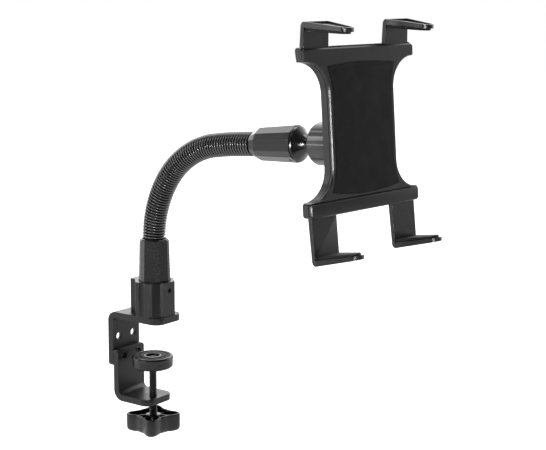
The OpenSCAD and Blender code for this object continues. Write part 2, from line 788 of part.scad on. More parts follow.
module clamp_knob() {
  color(plastic_black) translate([0, 0, -knob_bottom]) rotate([0, 0, knob_turn]) difference() {
    union() {
      difference() {
        linear_extrude(knob_h) polygon(knob_outline());
        translate([0, 0, knob_floor]) linear_extrude(knob_h) polygon(knob_outline(knob_wall));
      }
      cylinder(h = knob_h - 1, r = knob_hub_d/2);
      for (a = [0:45:315]) rotate([0, 0, a]) translate([knob_hub_d/2 - 1, -web_t/2, 1])
        cube([(a % 90 == 0 ? knob_span : knob_side)/2 - knob_hub_d/2 + 1 - knob_wall/2, web_t,
              knob_h - web_drop - 1]);
    }
    translate([0, 0, -1]) cylinder(h = knob_h + 2, r = screw_d/2 + run_gap);
    translate([0, 0, -1]) cylinder(h = nut_seat + 1, r = knob_nut_af/2/cos(30) + fix_gap, $fn = 6);
  }
}

module knob_nut() {
  color(bare_steel) translate([0, 0, -knob_bottom]) rotate([0, 0, knob_turn]) difference() {
    cylinder(h = nut_seat, r = knob_nut_af/2/cos(30), $fn = 6);
    translate([0, 0, -1]) cylinder(h = nut_seat + 2, r = screw_d/2 + run_gap);
  }
}

// Socket and lower ferrule
module base_socket() {
  color(plastic_black) translate([arm_x, 0, socket_base]) difference() {
    union() {
      difference() {
        rotate([0, 0, 22.5]) cylinder(h = socket_h, r = socket_af/2/cos(22.5), $fn = 8);
        for (a = [45, 90, 135, 225, 270, 315]) rotate([0, 0, a])
          translate([socket_af/2 + flute_r - flute_depth, 0, -1]) cylinder(h = socket_h + 2, r = flute_r);
      }
      translate([-socket_af/2 - lug_t + lug_r, 0, 0]) linear_extrude(socket_h) {
        for (s = [-1, 1]) translate([0, s*(lug_w/2 - lug_r)]) circle(lug_r);
        translate([0, -lug_w/2]) square([lug_t, lug_w]);
        translate([-lug_r, -lug_w/2 + lug_r]) square([2*lug_r, lug_w - 2*lug_r]);
      }
    }
    translate([0, 0, socket_bore_floor - socket_base]) cylinder(h = socket_h, r = socket_spigot_r + fix_gap);
    translate([0, 0, socket_h - collar_depth]) cylinder(h = socket_h, r = ferrule_low_r + collar_gap);
    translate([0, 0, socket_grub_z - socket_base]) rotate([0, 90, 0])
      cylinder(h = socket_af, r = grub_d/2 + run_gap);
    for (s = [-1, 1]) translate([s*socket_screw_x, 0, -1])
      cylinder(h = socket_screw_hold + 1.5, r = socket_screw_r + run_gap);
  }
}

module socket_screws() {
  color(satin_black) for (s = [-1, 1]) translate([arm_x + s*socket_screw_x, 0, 0])
    flat_screw(socket_screw_r, socket_head_r, socket_head_h, socket_base + socket_screw_hold);
}

module socket_grub_screw() {
  color(satin_black) translate([arm_x + socket_spigot_r + 0.05, 0, socket_grub_z]) rotate([0, 90, 0])
    grub(grub_d/2, socket_af/2 - socket_spigot_r - 0.9);
}

module lower_ferrule() {
  body_z = socket_top - collar_depth + 0.1;
  color(plastic_black) translate([arm_x, 0, 0]) difference() {
    union() {
      translate([0, 0, socket_bore_floor + fix_gap])
        cylinder(h = body_z - socket_bore_floor, r = socket_spigot_r);
      rotate([0, 0, ferrule_turn]) loft([[body_z, ferrule_low_r],
        [ferrule_top - ferrule_chamfer, ferrule_top_r], [ferrule_top, ferrule_top_r - ferrule_chamfer]]);
    }
    translate([0, 0, ferrule_top - core_insert - 0.5])
      cylinder(h = core_insert + 2, r = core_r + fix_gap);
    translate([0, 0, ferrule_top - cup_depth]) cylinder(h = cup_depth + 1, r = cover_r + soft_gap);
  }
}

// Gooseneck
// A stretch of core: hollow at its start where it follows a joint, domed at its end before one
module core_piece(s0, s1, cupped, domed) {
  cup_r = core_r + soft_gap;
  rim = sqrt(cup_r*cup_r - core_r*core_r);
  first = cupped ? s0 + rim : s0;
  n = max(1, round((s1 - first)/core_step));
  cup = cupped ? [for (i = [1:core_caps]) let (a = i/(core_caps + 1)*asin(core_r/cup_r))
    core_ring(s0, cup_r*cos(a), cup_r*sin(a))] : [];
  wall = [for (i = [0:n]) core_ring(first + (s1 - first)*i/n, 0, core_r)];
  dome = domed ? [for (i = [1:core_caps]) let (a = 90*i/(core_caps + 1))
    core_ring(s1, core_r*sin(a), core_r*cos(a))] : [];
  rings = concat(cup, wall, dome);
  color(steel_black)
    polyhedron([for (ring = rings) for (point = ring) point], tube_faces(len(rings) - 1, core_sides));
}

module neck_core_base() { core_piece(-core_insert, joint_low, false, true); }
module neck_core_low() { core_piece(joint_low, joint_mid, true, true); }
module neck_core_mid() { core_piece(joint_mid, joint_high, true, true); }
module neck_core_top() { core_piece(joint_high, neck_l + core_insert, true, false); }

// One unbroken winding between two distances along the neck
module coil_piece(s0, s1, name) {
  n = ring_count(s0, s1);
  ds = (s1 - s0)/n;
  points = [for (i = [0:n]) for (k = [0:coil_sides - 1])
    let (s = s0 + i*ds, a = heading(s), e = 360*(k + 0.5)/coil_sides)
    coil_point(s) + wire_r*(cos(e)*coil_out(s) + sin(e)*[cos(a), 0, sin(a)])];
  echo(str(name, " least gap between turns ", coil_gap(s0, s1), " mm, turns ", (s1 - s0)/coil_pitch));
  color(satin_black) polyhedron(points, tube_faces(n, coil_sides));
}

coil_first = wire_r + soft_gap;
coil_last = neck_l - wire_r - soft_gap;
module neck_coil_base() { coil_piece(coil_first, joint_low - seam_back, "base"); }
module neck_coil_low() { coil_piece(joint_low + seam_front, joint_mid - seam_back, "low"); }
module neck_coil_mid() { coil_piece(joint_mid + seam_front, joint_high - seam_back, "mid"); }
module neck_coil_top() { coil_piece(joint_high + seam_front, coil_last, "top"); }

// Upper ferrule and ball joint
module upper_ferrule() {
  start_r = cover_r + 0.4;
  color(plastic_black) arm_frame() difference() {
    union() {
      rotate([0, 0, 30]) loft([[0, start_r], [shoulder_l, shoulder_r], [upper_ferrule_l, mouth_r]]);
    }
    translate([0, 0, -1]) cylinder(h = core_insert + 1.5, r = core_r + fix_gap);
    translate([0, 0, upper_ferrule_l - stud_spigot_l - 0.5])
      cylinder(h = stud_spigot_l + 2, r = stud_spigot_r + fix_gap);
    translate([0, 0, ferrule_grub_l]) rotate([0, 90, -30])
      cylinder(h = mouth_r + 2, r = ferrule_grub_r + run_gap);
  }
}

module ferrule_grub_screw() {
  color(satin_black) arm_frame(ferrule_grub_l) rotate([0, 90, -30])
    translate([0, 0, stud_spigot_r + 0.05])
      grub(ferrule_grub_r, mouth_r*cos(flat_half) - stud_spigot_r - 0.8);
}

module ball_stud() {
  span = stud_l - rim_t;
  flare = [for (i = [0:flare_steps])
    [ball_neck_r + (stud_rim_r - 0.6 - ball_neck_r)*pow(1 - i/flare_steps, flare_power),
     rim_t + (flare_l)*i/flare_steps]];
  color(satin_black) arm_frame(upper_ferrule_l) {
    rotate_extrude() polygon(concat([[0, -stud_spigot_l], [stud_spigot_r, -stud_spigot_l],
      [stud_spigot_r, 0], [stud_rim_r - 0.5, 0], [stud_rim_r, 0.6], [stud_rim_r, rim_t - 0.8]],
      flare, [[ball_neck_r, span + rim_t], [0, span + rim_t]]));
    translate([0, 0, stud_l]) sphere(ball_r);
  }
}

// A solid turned about the holder's facing axis
module turned() {
  rotate([0, 90, 0]) rotate_extrude() children();
}

module ball_liner() {
  color(plastic_black) holder_frame() difference() {
    intersection() {
      rotate([0, 90, 0]) sphere(liner_r);
      rotate([0, 90, 0]) translate([0, 0, -liner_back])
        cylinder(h = liner_back + liner_front, r = liner_r + 1);
    }
    rotate([0, 90, 0]) sphere(ball_r + run_gap);
  }
}

module clamp_ring() {
  color(bare_steel) holder_frame() difference() {
    rotate([0, 90, 0]) translate([0, 0, -ring_back]) cylinder(h = ring_back + ring_front, r = ring_r);
    rotate([0, 90, 0]) sphere(liner_r + run_gap);
  }
}

module swivel_boss() {
  color(plastic_black) holder_frame() difference() {
    turned() polygon([[0, boss_start], [boss_r, boss_start], [boss_r, back_n - boss_flange_t - 3],
      [boss_r + 3.5, back_n - boss_flange_t], [boss_flange_r, back_n - 2.5], [boss_flange_r, back_n],
      [0, back_n]]);
    rotate([0, 90, 0]) translate([0, 0, boss_start - 1]) cylinder(h = boss_bore_l + 1, r = boss_bore_r + 0.4);
    for (a = [45:90:315]) rotate([a, 0, 0]) translate([back_n + 1, 0, boss_screw_pcd/2])
      rotate([0, -90, 0]) cylinder(h = boss_screw_l, r = small_screw_r + run_gap);
  }
}

module ball_nut() {
  thread_start = ring_front + run_gap;
  color(plastic_black) holder_frame() difference() {
    turned() polygon(concat(
      [for (e = arc_pts(-nut_lead + nut_round, nut_r - nut_round, nut_round, 180, 90, 5)) [e[1], e[0]]],
      [[nut_r, nut_l - nut_lead - 1], [nut_r - 1, nut_l - nut_lead], [0, nut_l - nut_lead], [0, -nut_lead]]));
    rotate([0, 90, 0]) translate([0, 0, -nut_lead - 1]) cylinder(h = nut_l + 2, r = nut_lip_r);
    rotate([0, 90, 0]) translate([0, 0, -nut_lead + nut_lip_t]) cylinder(h = nut_l, r = ring_r + run_gap);
    rotate([0, 90, 0]) translate([0, 0, thread_start - 0.5]) cylinder(h = nut_l, r = boss_r + run_gap);
    for (i = [0:nut_ribs - 1]) rotate([flute_start + 360*i/nut_ribs, 0, 0])
      translate([-nut_lead - 1, 0, nut_r + nut_flute_r - flute_sunk_depth])
        rotate([0, 90, 0]) cylinder(h = nut_l + 2, r = nut_flute_r);
  }
}

module boss_screws() {
  color(bare_steel) holder_frame() for (a = [45:90:315]) rotate([a, 0, 0])
    translate([slide_back_n, 0, boss_screw_pcd/2]) rotate([0, -90, 0])
      flat_screw(small_screw_r, small_head_r, small_head_h, boss_screw_l);
}

// Holder body
module leg_channel(edge_h, outward) {
  h0 = outward > 0 ? edge_h - wall - root_h - 0.2 : edge_h + wall - 0.1;
  holder_box(stem_back_n - root_back - slide_gap, stem_front_n + root_front + slide_gap,
    -channel_w, channel_w, h0, h0 + root_h + 0.3);
  for (s = [-1, 1]) {
    inner = leg_offset - leg_travel - leg_w/2 - 0.2;
    outer = leg_offset + leg_w/2 + 0.2;
    holder_box(stem_back_n - slide_gap, stem_front_n + slot_front,
      s > 0 ? inner : -outer, s > 0 ? outer : -inner, edge_h - wall - 1, edge_h + wall + 1);
  }
}

module slide_pocket() {
  holder_box(slide_back_n, split_n, -slider_w - slide_gap,
    slider_w + slide_gap, -body_low - 1, pocket_top);
}

module boss_holes() {
  for (a = [45:90:315]) rotate([a, 0, 0]) translate([slide_back_n, 0, boss_screw_pcd/2])
    rotate([0, -90, 0])
      countersunk_hole(small_screw_r, small_head_r, small_head_h, slide_back_n - back_n + 2);
}

module shell_screw_places() {
  for (s = [-1, 1]) for (h = shell_screw_heights) translate([back_n, s*shell_screw_w, h])
    rotate([0, 90, 0]) children();
}

module back_shell() {
  color(plastic_black) holder_frame() {
    difference() {
      union() {
        upright(back_n, split_n - joint_w) polygon(body_outline());
        upright(split_n - joint_w - 0.1, split_n) polygon(body_outline(joint_depth));
      }
      slide_pocket();
      leg_channel(top_h, 1);
      boss_holes();
      shell_screw_places() {
        countersunk_hole(small_screw_r, small_head_r, small_head_h, body_d);
        translate([0, 0, shell_post_start - fix_gap - back_n])
          cylinder(h = body_d, r = shell_post_r + fix_gap);
      }
    }
    for (s = [-1, 1]) translate([slide_back_n - 0.5, s*spring_w, shell_peg_h]) rotate([0, 90, 0])
      cylinder(h = slider_t - 0.5, r = slider_pin_r);
  }
}

module front_shell() {
  color(plastic_black) holder_frame() difference() {
    union() {
      upright(split_n, face_n) polygon(body_outline());
      shell_screw_places() translate([0, 0, shell_post_start - back_n])
        cylinder(h = split_n - shell_post_start + 0.1, r = shell_post_r);
    }
    slide_pocket();
    leg_channel(top_h, 1);
    upright(face_n - front_pad_depth, face_n + 1) polygon(pad_outline());
    shell_screw_places() cylinder(h = shell_screw_l + 0.3, r = small_screw_r + run_gap);
  }
}

module front_pad() {
  color(rubber_black) holder_frame()
    upright(face_n - front_pad_depth, face_n - front_pad_depth + front_pad_t) polygon(pad_outline(soft_gap));
}

module shell_screws() {
  color(bare_steel) holder_frame() shell_screw_places()
    flat_screw(small_screw_r, small_head_r, small_head_h, shell_screw_l);
}

// Movable jaw
module tab_holes(gap) {
  for (s = [-1, 1]) translate([back_n - 1, s*tab_screw_w, -body_low - bar_h/2]) rotate([0, 90, 0])
    cylinder(h = slider_screw_l + 1.2, r = small_screw_r + gap);
}

module jaw_slider() {
  color(plastic_black) holder_frame() difference() {
    union() {
      holder_box(slide_back_n + slide_gap, slide_back_n + slide_gap + slider_t,
        -slider_w, slider_w, -body_low, slider_top - slider_step);
      holder_box(slide_back_n + slide_gap, slide_back_n + slide_gap + slider_t,
        -tab_w, tab_w, -bar_low + 1.6, -body_low + 1);
      for (s = [-1, 1]) {
        holder_box(slide_back_n + slide_gap, slide_back_n + slide_gap + 1.2,
          s*spring_w - tab_end_w, s*spring_w + tab_end_w, slider_top - slider_step - 1, slider_top);
        translate([slide_back_n + slide_gap, s*spring_w, slider_peg_h]) rotate([0, 90, 0])
          cylinder(h = slider_t, r = slider_pin_r);
      }
    }
    tab_holes(fix_gap);
  }
}

module jaw_block(n0, n1) {
  difference() {
    children();
    leg_channel(-bar_low, -1);
    holder_box(slide_back_n, split_n, -tab_w - 0.1, tab_w + 0.1,
      -bar_low + 1.5, 0);
  }
  difference() {
    holder_box(n0, n1, -tab_w - 2, tab_w + 2, -bar_low + 0.4, -body_low - jaw_gap - 0.2);
    holder_box(slide_back_n, split_n, -tab_w - 0.1, tab_w + 0.1,
      -bar_low + 1.5, 0);
  }
}

module jaw_outline(inset = 0) {
  r = end_corner_r - inset;
  low = -bar_low + inset;
  high = -body_low - jaw_gap - inset;
  w = end_w - inset;
  polygon(concat(
    arc_pts(w - r, low + r, r, -90, 0, 5), arc_pts(w - 1, high - 1, 1, 0, 90, 3),
    arc_pts(-w + 1, high - 1, 1, 90, 180, 3), arc_pts(-w + r, low + r, r, 180, 270, 5)));
}

module jaw_back() {
  color(plastic_black) holder_frame() difference() {
    jaw_block(back_n, split_n) {
      upright(back_n, split_n - joint_w) jaw_outline();
      upright(split_n - joint_w - 0.1, split_n) jaw_outline(joint_depth);
    }
    tab_holes(fix_gap);
    for (s = [-1, 1]) translate([back_n, s*tab_screw_w, -body_low - bar_h/2])
      rotate([0, 90, 0]) countersunk_hole(small_screw_r, small_head_r, small_head_h, 2*small_head_h);
  }
}

module jaw_front() {
  color(plastic_black) holder_frame() difference() {
    jaw_block(split_n, face_n) upright(split_n, face_n) jaw_outline();
    tab_holes(run_gap);
  }
}

module slider_screws() {
  color(bare_steel) holder_frame() for (s = [-1, 1])
    translate([back_n, s*tab_screw_w, -body_low - bar_h/2]) rotate([0, 90, 0])
      flat_screw(small_screw_r, small_head_r, small_head_h, slider_screw_l);
}

module jaw_springs() {
  color(bare_steel) holder_frame() for (s = [-1, 1])
    translate([slide_back_n + spring_d/2 + soft_gap, s*spring_w, spring_foot]) spring_coil(spring_l);
}

// One unbroken winding along z
module spring_coil(l) {
  mid_r = (spring_d - spring_wire)/2;
  turns = (l - spring_wire)/spring_pitch;
  n = round(turns*coil_rings);
  points = [for (i = [0:n]) for (k = [0:coil_sides - 1])
    let (a = 360*i/coil_rings, e = 360*(k + 0.5)/coil_sides, r = mid_r + spring_wire/2*cos(e))
    [r*cos(a), r*sin(a), spring_wire/2 + i*spring_pitch/coil_rings - spring_wire/2*sin(e)]];
  centres = [for (i = [0:n]) let (a = 360*i/coil_rings)
    [mid_r*cos(a), mid_r*sin(a), i*spring_pitch/coil_rings]];
  gap = min([for (i = [0:n - coil_rings - 1]) for (k = [-1:1])
    norm(centres[i + coil_rings + k] - centres[i])]) - spring_wire;
  echo(str("spring least gap between turns ", gap, " mm, turns ", turns));
  polyhedron(points, tube_faces(n, coil_sides));
}

// Legs: side profile and plan cut to each other, with a flange that slides in the channel
module leg_body(h) {
  difference() {
    intersection() {
      translate([0, leg_w/2, 0]) rotate([90, 0, 0]) linear_extrude(leg_w) polygon(leg_side(h));
      translate([0, 0, -1]) linear_extrude(h + 2) polygon(foot_plan(0, foot_tip_n));
    }
    intersection() {
      translate([0, leg_w/2, 0]) rotate([90, 0, 0]) linear_extrude(leg_w) polygon(tray_side(h));
      linear_extrude(h + 2) polygon(foot_plan(tray_rim, foot_tip_n - tray_rim));
    }
  }
  holder_box(stem_back_n, stem_front_n, -leg_w/2, leg_w/2, -wall - 1, 0.01);
  holder_box(stem_back_n - root_back, stem_front_n + root_front, -leg_w/2 - root_side,
    leg_w/2 + root_side, -wall - root_h, -wall - 0.1);
}

module grip_body(h) {
  intersection() {
    translate([0, leg_w/2, 0]) rotate([90, 0, 0]) linear_extrude(leg_w) polygon(grip_side(h));
    linear_extrude(h + 2) polygon(foot_plan(grip_edge, foot_tip_n - grip_short));
  }
}

module upper_place(s) { holder_frame() translate([0, s*leg_offset, top_h]) children(); }
module lower_place(s) { holder_frame() translate([0, s*leg_offset, -bar_low]) mirror([0, 0, 1]) children(); }

module leg_top_left() { color(plastic_black) upper_place(-1) leg_body(upper_leg_h); }
module leg_top_right() { color(plastic_black) upper_place(1) leg_body(upper_leg_h); }
module leg_bottom_left() { color(plastic_black) lower_place(-1) leg_body(lower_leg_h); }
module leg_bottom_right() { color(plastic_black) lower_place(1) leg_body(lower_leg_h); }
module grip_top_left() { color(rubber_black) upper_place(-1) grip_body(upper_leg_h); }
module grip_top_right() { color(rubber_black) upper_place(1) grip_body(upper_leg_h); }
module grip_bottom_left() { color(rubber_black) lower_place(-1) grip_body(lower_leg_h); }
module grip_bottom_right() { color(rubber_black) lower_place(1) grip_body(lower_leg_h); }

upper_bracket();
lower_bracket();
bracket_screws();
clamp_screw();
clamp_knob();
knob_nut();
pad_clip();
pad_bushing();
clamp_pad();
pad_grip();
base_socket();
socket_screws();
socket_grub_screw();
lower_ferrule();
neck_core_base();
neck_core_low();
neck_core_mid();
neck_core_top();
neck_coil_base();
neck_coil_low();
neck_coil_mid();
neck_coil_top();
upper_ferrule();
ferrule_grub_screw();
ball_stud();
ball_liner();
clamp_ring();
ball_nut();
swivel_boss();
boss_screws();
back_shell();
front_shell();
front_pad();
shell_screws();
jaw_slider();
jaw_back();
jaw_front();
slider_screws();
jaw_springs();
leg_top_left();
leg_top_right();
leg_bottom_left();
leg_bottom_right();
grip_top_left();
grip_top_right();
grip_bottom_left();
grip_bottom_right();
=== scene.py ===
import math
import bpy
import bmesh
from mathutils import Matrix, Vector
from mathutils.geometry import tessellate_polygon


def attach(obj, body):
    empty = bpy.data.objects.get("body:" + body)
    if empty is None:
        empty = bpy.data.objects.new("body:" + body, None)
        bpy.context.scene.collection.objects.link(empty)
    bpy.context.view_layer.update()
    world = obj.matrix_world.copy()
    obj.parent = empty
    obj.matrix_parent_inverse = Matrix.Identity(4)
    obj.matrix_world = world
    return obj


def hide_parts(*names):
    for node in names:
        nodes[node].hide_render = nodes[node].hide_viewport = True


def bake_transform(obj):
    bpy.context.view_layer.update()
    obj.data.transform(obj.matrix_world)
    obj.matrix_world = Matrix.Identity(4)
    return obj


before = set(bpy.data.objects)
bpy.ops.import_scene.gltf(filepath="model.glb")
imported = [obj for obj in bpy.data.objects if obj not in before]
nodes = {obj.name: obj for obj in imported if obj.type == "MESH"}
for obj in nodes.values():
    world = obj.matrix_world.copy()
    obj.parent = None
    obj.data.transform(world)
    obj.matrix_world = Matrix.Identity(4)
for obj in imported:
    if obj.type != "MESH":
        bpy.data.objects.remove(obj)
bpy.context.view_layer.update()
MM = 0.001

scene = bpy.context.scene
scene.view_settings.view_transform = "Standard"

# Camera, solved from the photo: place in metres, turns in degrees, lens in millimetres
EYE = Vector((0.6715, -0.7500, 0.2459))
EYE_YAW = -36.160
EYE_DOWN = 7.421
EYE_ROLL = 0.119
LENS = 81.67
SENSOR = 36.0
SHIFT_Y = -0.08


def deg_sin(a):
    return math.sin(math.radians(a))


def deg_cos(a):
    return math.cos(math.radians(a))


def make_camera():
    level = deg_cos(EYE_DOWN)
    ahead = Vector((deg_sin(EYE_YAW) * level, deg_cos(EYE_YAW) * level, -deg_sin(EYE_DOWN)))
    right = Vector((deg_cos(EYE_YAW), -deg_sin(EYE_YAW), 0.0))
    up = right.cross(ahead)
    side = right * deg_cos(EYE_ROLL) + up * deg_sin(EYE_ROLL)
    top = up * deg_cos(EYE_ROLL) - right * deg_sin(EYE_ROLL)
    data = bpy.data.cameras.new("camera")
    data.lens = LENS
    data.sensor_width = SENSOR
    data.sensor_fit = "HORIZONTAL"
    data.shift_y = SHIFT_Y
    data.clip_start = 0.02
    data.clip_end = 60.0
    cam = bpy.data.objects.new("camera", data)
    scene.collection.objects.link(cam)
    turn = Matrix((side, top, -ahead)).transposed().to_4x4()
    cam.matrix_world = Matrix.Translation(EYE) @ turn
    scene.camera = cam


make_camera()

# Studio lamps: place and size in metres, power in watts, spread in degrees
AIM = (0.09, 0.0, 0.08)
EDGE_AIM = (0.20, -0.04, 0.17)


def area_light(name, place, size, power, target=AIM, spread=180.0):
    """A softbox that faces its target."""
    data = bpy.data.lights.new(name, "AREA")
    data.energy = power
    data.shape = "RECTANGLE"
    data.size = size[0]
    data.size_y = size[1]
    data.spread = math.radians(spread)
    lamp = bpy.data.objects.new(name, data)
    scene.collection.objects.link(lamp)
    lamp.location = place
    lamp.rotation_mode = "QUATERNION"
    lamp.rotation_quaternion = (Vector(target) - Vector(place)).to_track_quat("-Z", "Y")


area_light("overhead_softbox", (-0.05, 0.35, 1.3), (1.0, 0.6), 9.0)
area_light("left_softbox", (-1.1, -0.75, 0.30), (0.25, 1.2), 4.2)
area_light("back_softbox", (0.75, 1.25, 0.45), (0.6, 1.2), 3.0)
area_light("low_bounce", (0.1, -0.3, -0.38), (1.2, 0.8), 0.25)
area_light("key_strip", (-0.2, -1.15, 0.30), (0.14, 0.6), 2.2)
area_light("top_front_softbox", (0.30, -0.75, 1.35), (1.6, 0.35), 4.2)
area_light("edge_strip", (0.95, -0.97, 0.14), (0.10, 0.45), 0.16, EDGE_AIM, 14.0)

# The studio's cloth is bright behind the object and dark on the camera's side
BEHIND = (-0.58, 0.81, 0.0)
STUDIO = ((0.00, 0.05), (0.35, 0.085), (0.50, 0.16), (0.65, 0.60), (0.80, 1.0), (1.00, 1.6))
STUDIO_POWER = 1.5


def fill_ramp(elements, stops):
    """Sets a new ramp's two end stops and adds the ones between them."""
    for element, (position, colour) in ((elements[0], stops[0]), (elements[1], stops[-1])):
        element.position = position
        element.color = (*colour, 1.0)
    for position, colour in stops[1:-1]:
        elements.new(position).color = (*colour, 1.0)


def make_world():
    world = bpy.data.worlds.new("studio")
    scene.world = world
    world.use_nodes = True
    tree = world.node_tree
    tree.nodes.clear()
    out = tree.nodes.new("ShaderNodeOutputWorld")
    mix = tree.nodes.new("ShaderNodeMixShader")
    path = tree.nodes.new("ShaderNodeLightPath")
    seen = tree.nodes.new("ShaderNodeBackground")
    seen.inputs["Color"].default_value = (1.0, 1.0, 1.0, 1.0)
    seen.inputs["Strength"].default_value = 1.0
    cloth = tree.nodes.new("ShaderNodeBackground")
    cloth.inputs["Strength"].default_value = STUDIO_POWER
    way = tree.nodes.new("ShaderNodeTexCoord")
    dot = tree.nodes.new("ShaderNodeVectorMath")
    dot.operation = "DOT_PRODUCT"
    dot.inputs[1].default_value = BEHIND
    tree.links.new(way.outputs["Generated"], dot.inputs[0])
    span = tree.nodes.new("ShaderNodeMapRange")
    span.inputs["From Min"].default_value = -1.0
    span.inputs["From Max"].default_value = 1.0
    tree.links.new(dot.outputs["Value"], span.inputs["Value"])
    ramp = tree.nodes.new("ShaderNodeValToRGB")
    fill_ramp(ramp.color_ramp.elements, [(position, (level, level, level)) for position, level in STUDIO])
    tree.links.new(span.outputs["Result"], ramp.inputs["Fac"])
    tree.links.new(ramp.outputs["Color"], cloth.inputs["Color"])
    tree.links.new(path.outputs["Is Camera Ray"], mix.inputs["Fac"])
    tree.links.new(cloth.outputs[0], mix.inputs[1])
    tree.links.new(seen.outputs[0], mix.inputs[2])
    tree.links.new(mix.outputs[0], out.inputs["Surface"])


make_world()


# Materials
class Nodes:
    """Short names for building one node tree."""

    def __init__(self, name):
        self.material = bpy.data.materials.new(name)
        self.material.use_nodes = True
        self.tree = self.material.node_tree
        self.tree.nodes.clear()
        self.out = self.add("ShaderNodeOutputMaterial")
        self.shader = self.add("ShaderNodeBsdfPrincipled")
        self.link(self.shader.outputs[0], self.out.inputs["Surface"])
        self.place = self.add("ShaderNodeTexCoord").outputs["Object"]

    def add(self, kind):
        return self.tree.nodes.new(kind)

    def link(self, a, b):
        self.tree.links.new(a, b)

    def stretched(self, scale):
        """Object coordinates scaled by axis."""
        node = self.add("ShaderNodeMapping")
        node.inputs["Scale"].default_value = scale
        self.link(self.place, node.inputs["Vector"])
        return node.outputs["Vector"]

    def noise(self, scale, detail, roughness=0.55, vector=None):
        node = self.add("ShaderNodeTexNoise")
        node.inputs["Scale"].default_value = scale
        node.inputs["Detail"].default_value = detail
        node.inputs["Roughness"].default_value = roughness
        self.link(vector or self.place, node.inputs["Vector"])
        return node.outputs["Fac"]

    def cells(self, scale):
        node = self.add("ShaderNodeTexVoronoi")
        node.inputs["Scale"].default_value = scale
        self.link(self.place, node.inputs["Vector"])
        return node.outputs["Distance"]

    def ramp(self, value, stops):
        node = self.add("ShaderNodeValToRGB")
        fill_ramp(node.color_ramp.elements, stops)
        self.link(value, node.inputs["Fac"])
        return node.outputs["Color"]

    def spread(self, value, low, high, start=0.3, end=0.7):
        node = self.add("ShaderNodeMapRange")
        node.inputs["From Min"].default_value = start
        node.inputs["From Max"].default_value = end
        node.inputs["To Min"].default_value = low
        node.inputs["To Max"].default_value = high
        self.link(value, node.inputs["Value"])
        return node.outputs["Result"]

    def math(self, kind, a, b):
        node = self.add("ShaderNodeMath")
        node.operation = kind
        for socket, value in zip(node.inputs, (a, b)):
            if isinstance(value, (int, float)):
                socket.default_value = value
            else:
                self.link(value, socket)
        return node.outputs[0]

    def mix(self, factor, a, b):
        node = self.add("ShaderNodeMix")
        node.data_type = "RGBA"
        self.link(factor, node.inputs["Factor"])
        for socket, value in ((node.inputs["A"], a), (node.inputs["B"], b)):
            if isinstance(value, tuple):
                socket.default_value = (*value, 1.0)
            else:
                self.link(value, socket)
        return node.outputs["Result"]

    def bump(self, height, strength, distance):
        node = self.add("ShaderNodeBump")
        node.inputs["Strength"].default_value = strength
        node.inputs["Distance"].default_value = distance
        self.link(height, node.inputs["Height"])
        self.link(node.outputs["Normal"], self.shader.inputs["Normal"])

    def edges(self, radius, start, end):
        """A mask that is 1 along outer edges, from the rounded normal against the flat one."""
        bevel = self.add("ShaderNodeBevel")
        bevel.samples = 4
        bevel.inputs["Radius"].default_value = radius
        flat = self.add("ShaderNodeNewGeometry")
        dot = self.add("ShaderNodeVectorMath")
        dot.operation = "DOT_PRODUCT"
        self.link(bevel.outputs["Normal"], dot.inputs[0])
        self.link(flat.outputs["Normal"], dot.inputs[1])
        return self.spread(dot.outputs["Value"], 1.0, 0.0, start, end)


def grey(value):
    return (value, value, value)


def finish(name, tone, rough, cloud, depth, grain, bump, height=0.00006, rough_swing=0.06, wear=None,
           metallic=0.0, coat=0.0, coat_rough=0.1, specular=0.5, scratches=0.0):
    """A hard black surface: slow clouds, fine specks, smudges, and where it has them wear and scratches."""
    n = Nodes(name)
    clouds = n.noise(cloud, detail=4.0, roughness=0.6)
    dark, light = grey(tone * (1 - depth)), grey(tone * (1 + depth))
    colour = n.ramp(clouds, [(0.30, dark), (0.52, grey(tone)), (0.74, light)])
    speck = n.noise(grain * 0.45, detail=2.0, roughness=0.7)
    share = n.spread(speck, low=0.0, high=0.35, start=0.5, end=0.72)
    colour = n.mix(share, colour, grey(tone * (1.0 + 1.6 * depth)))
    if wear:
        gain, radius = wear
        patches = n.spread(n.noise(420.0, detail=3.0), low=0.1, high=1.0, start=0.38, end=0.66)
        worn = n.math("MULTIPLY", n.edges(radius, start=0.72, end=0.97), patches)
        colour = n.mix(worn, colour, grey(tone * gain))
    n.link(colour, n.shader.inputs["Base Color"])
    smudge = n.noise(cloud * 2.3, detail=5.0, roughness=0.65)
    roughness = n.spread(smudge, low=rough - rough_swing, high=rough + rough_swing)
    if scratches:
        lines = n.noise(900.0, detail=2.0, roughness=0.5, vector=n.stretched((0.06, 1.0, 1.0)))
        roughness = n.math("ADD", roughness, n.spread(lines, low=0.0, high=scratches, start=0.55, end=0.8))
    n.link(roughness, n.shader.inputs["Roughness"])
    n.shader.inputs["Metallic"].default_value = metallic
    n.shader.inputs["Specular IOR Level"].default_value = specular
    n.shader.inputs["Coat Weight"].default_value = coat
    n.shader.inputs["Coat Roughness"].default_value = coat_rough
    n.bump(n.noise(grain, detail=2.0, roughness=0.6), bump, height)
    return n.material


SOFT_SWING = 0.06


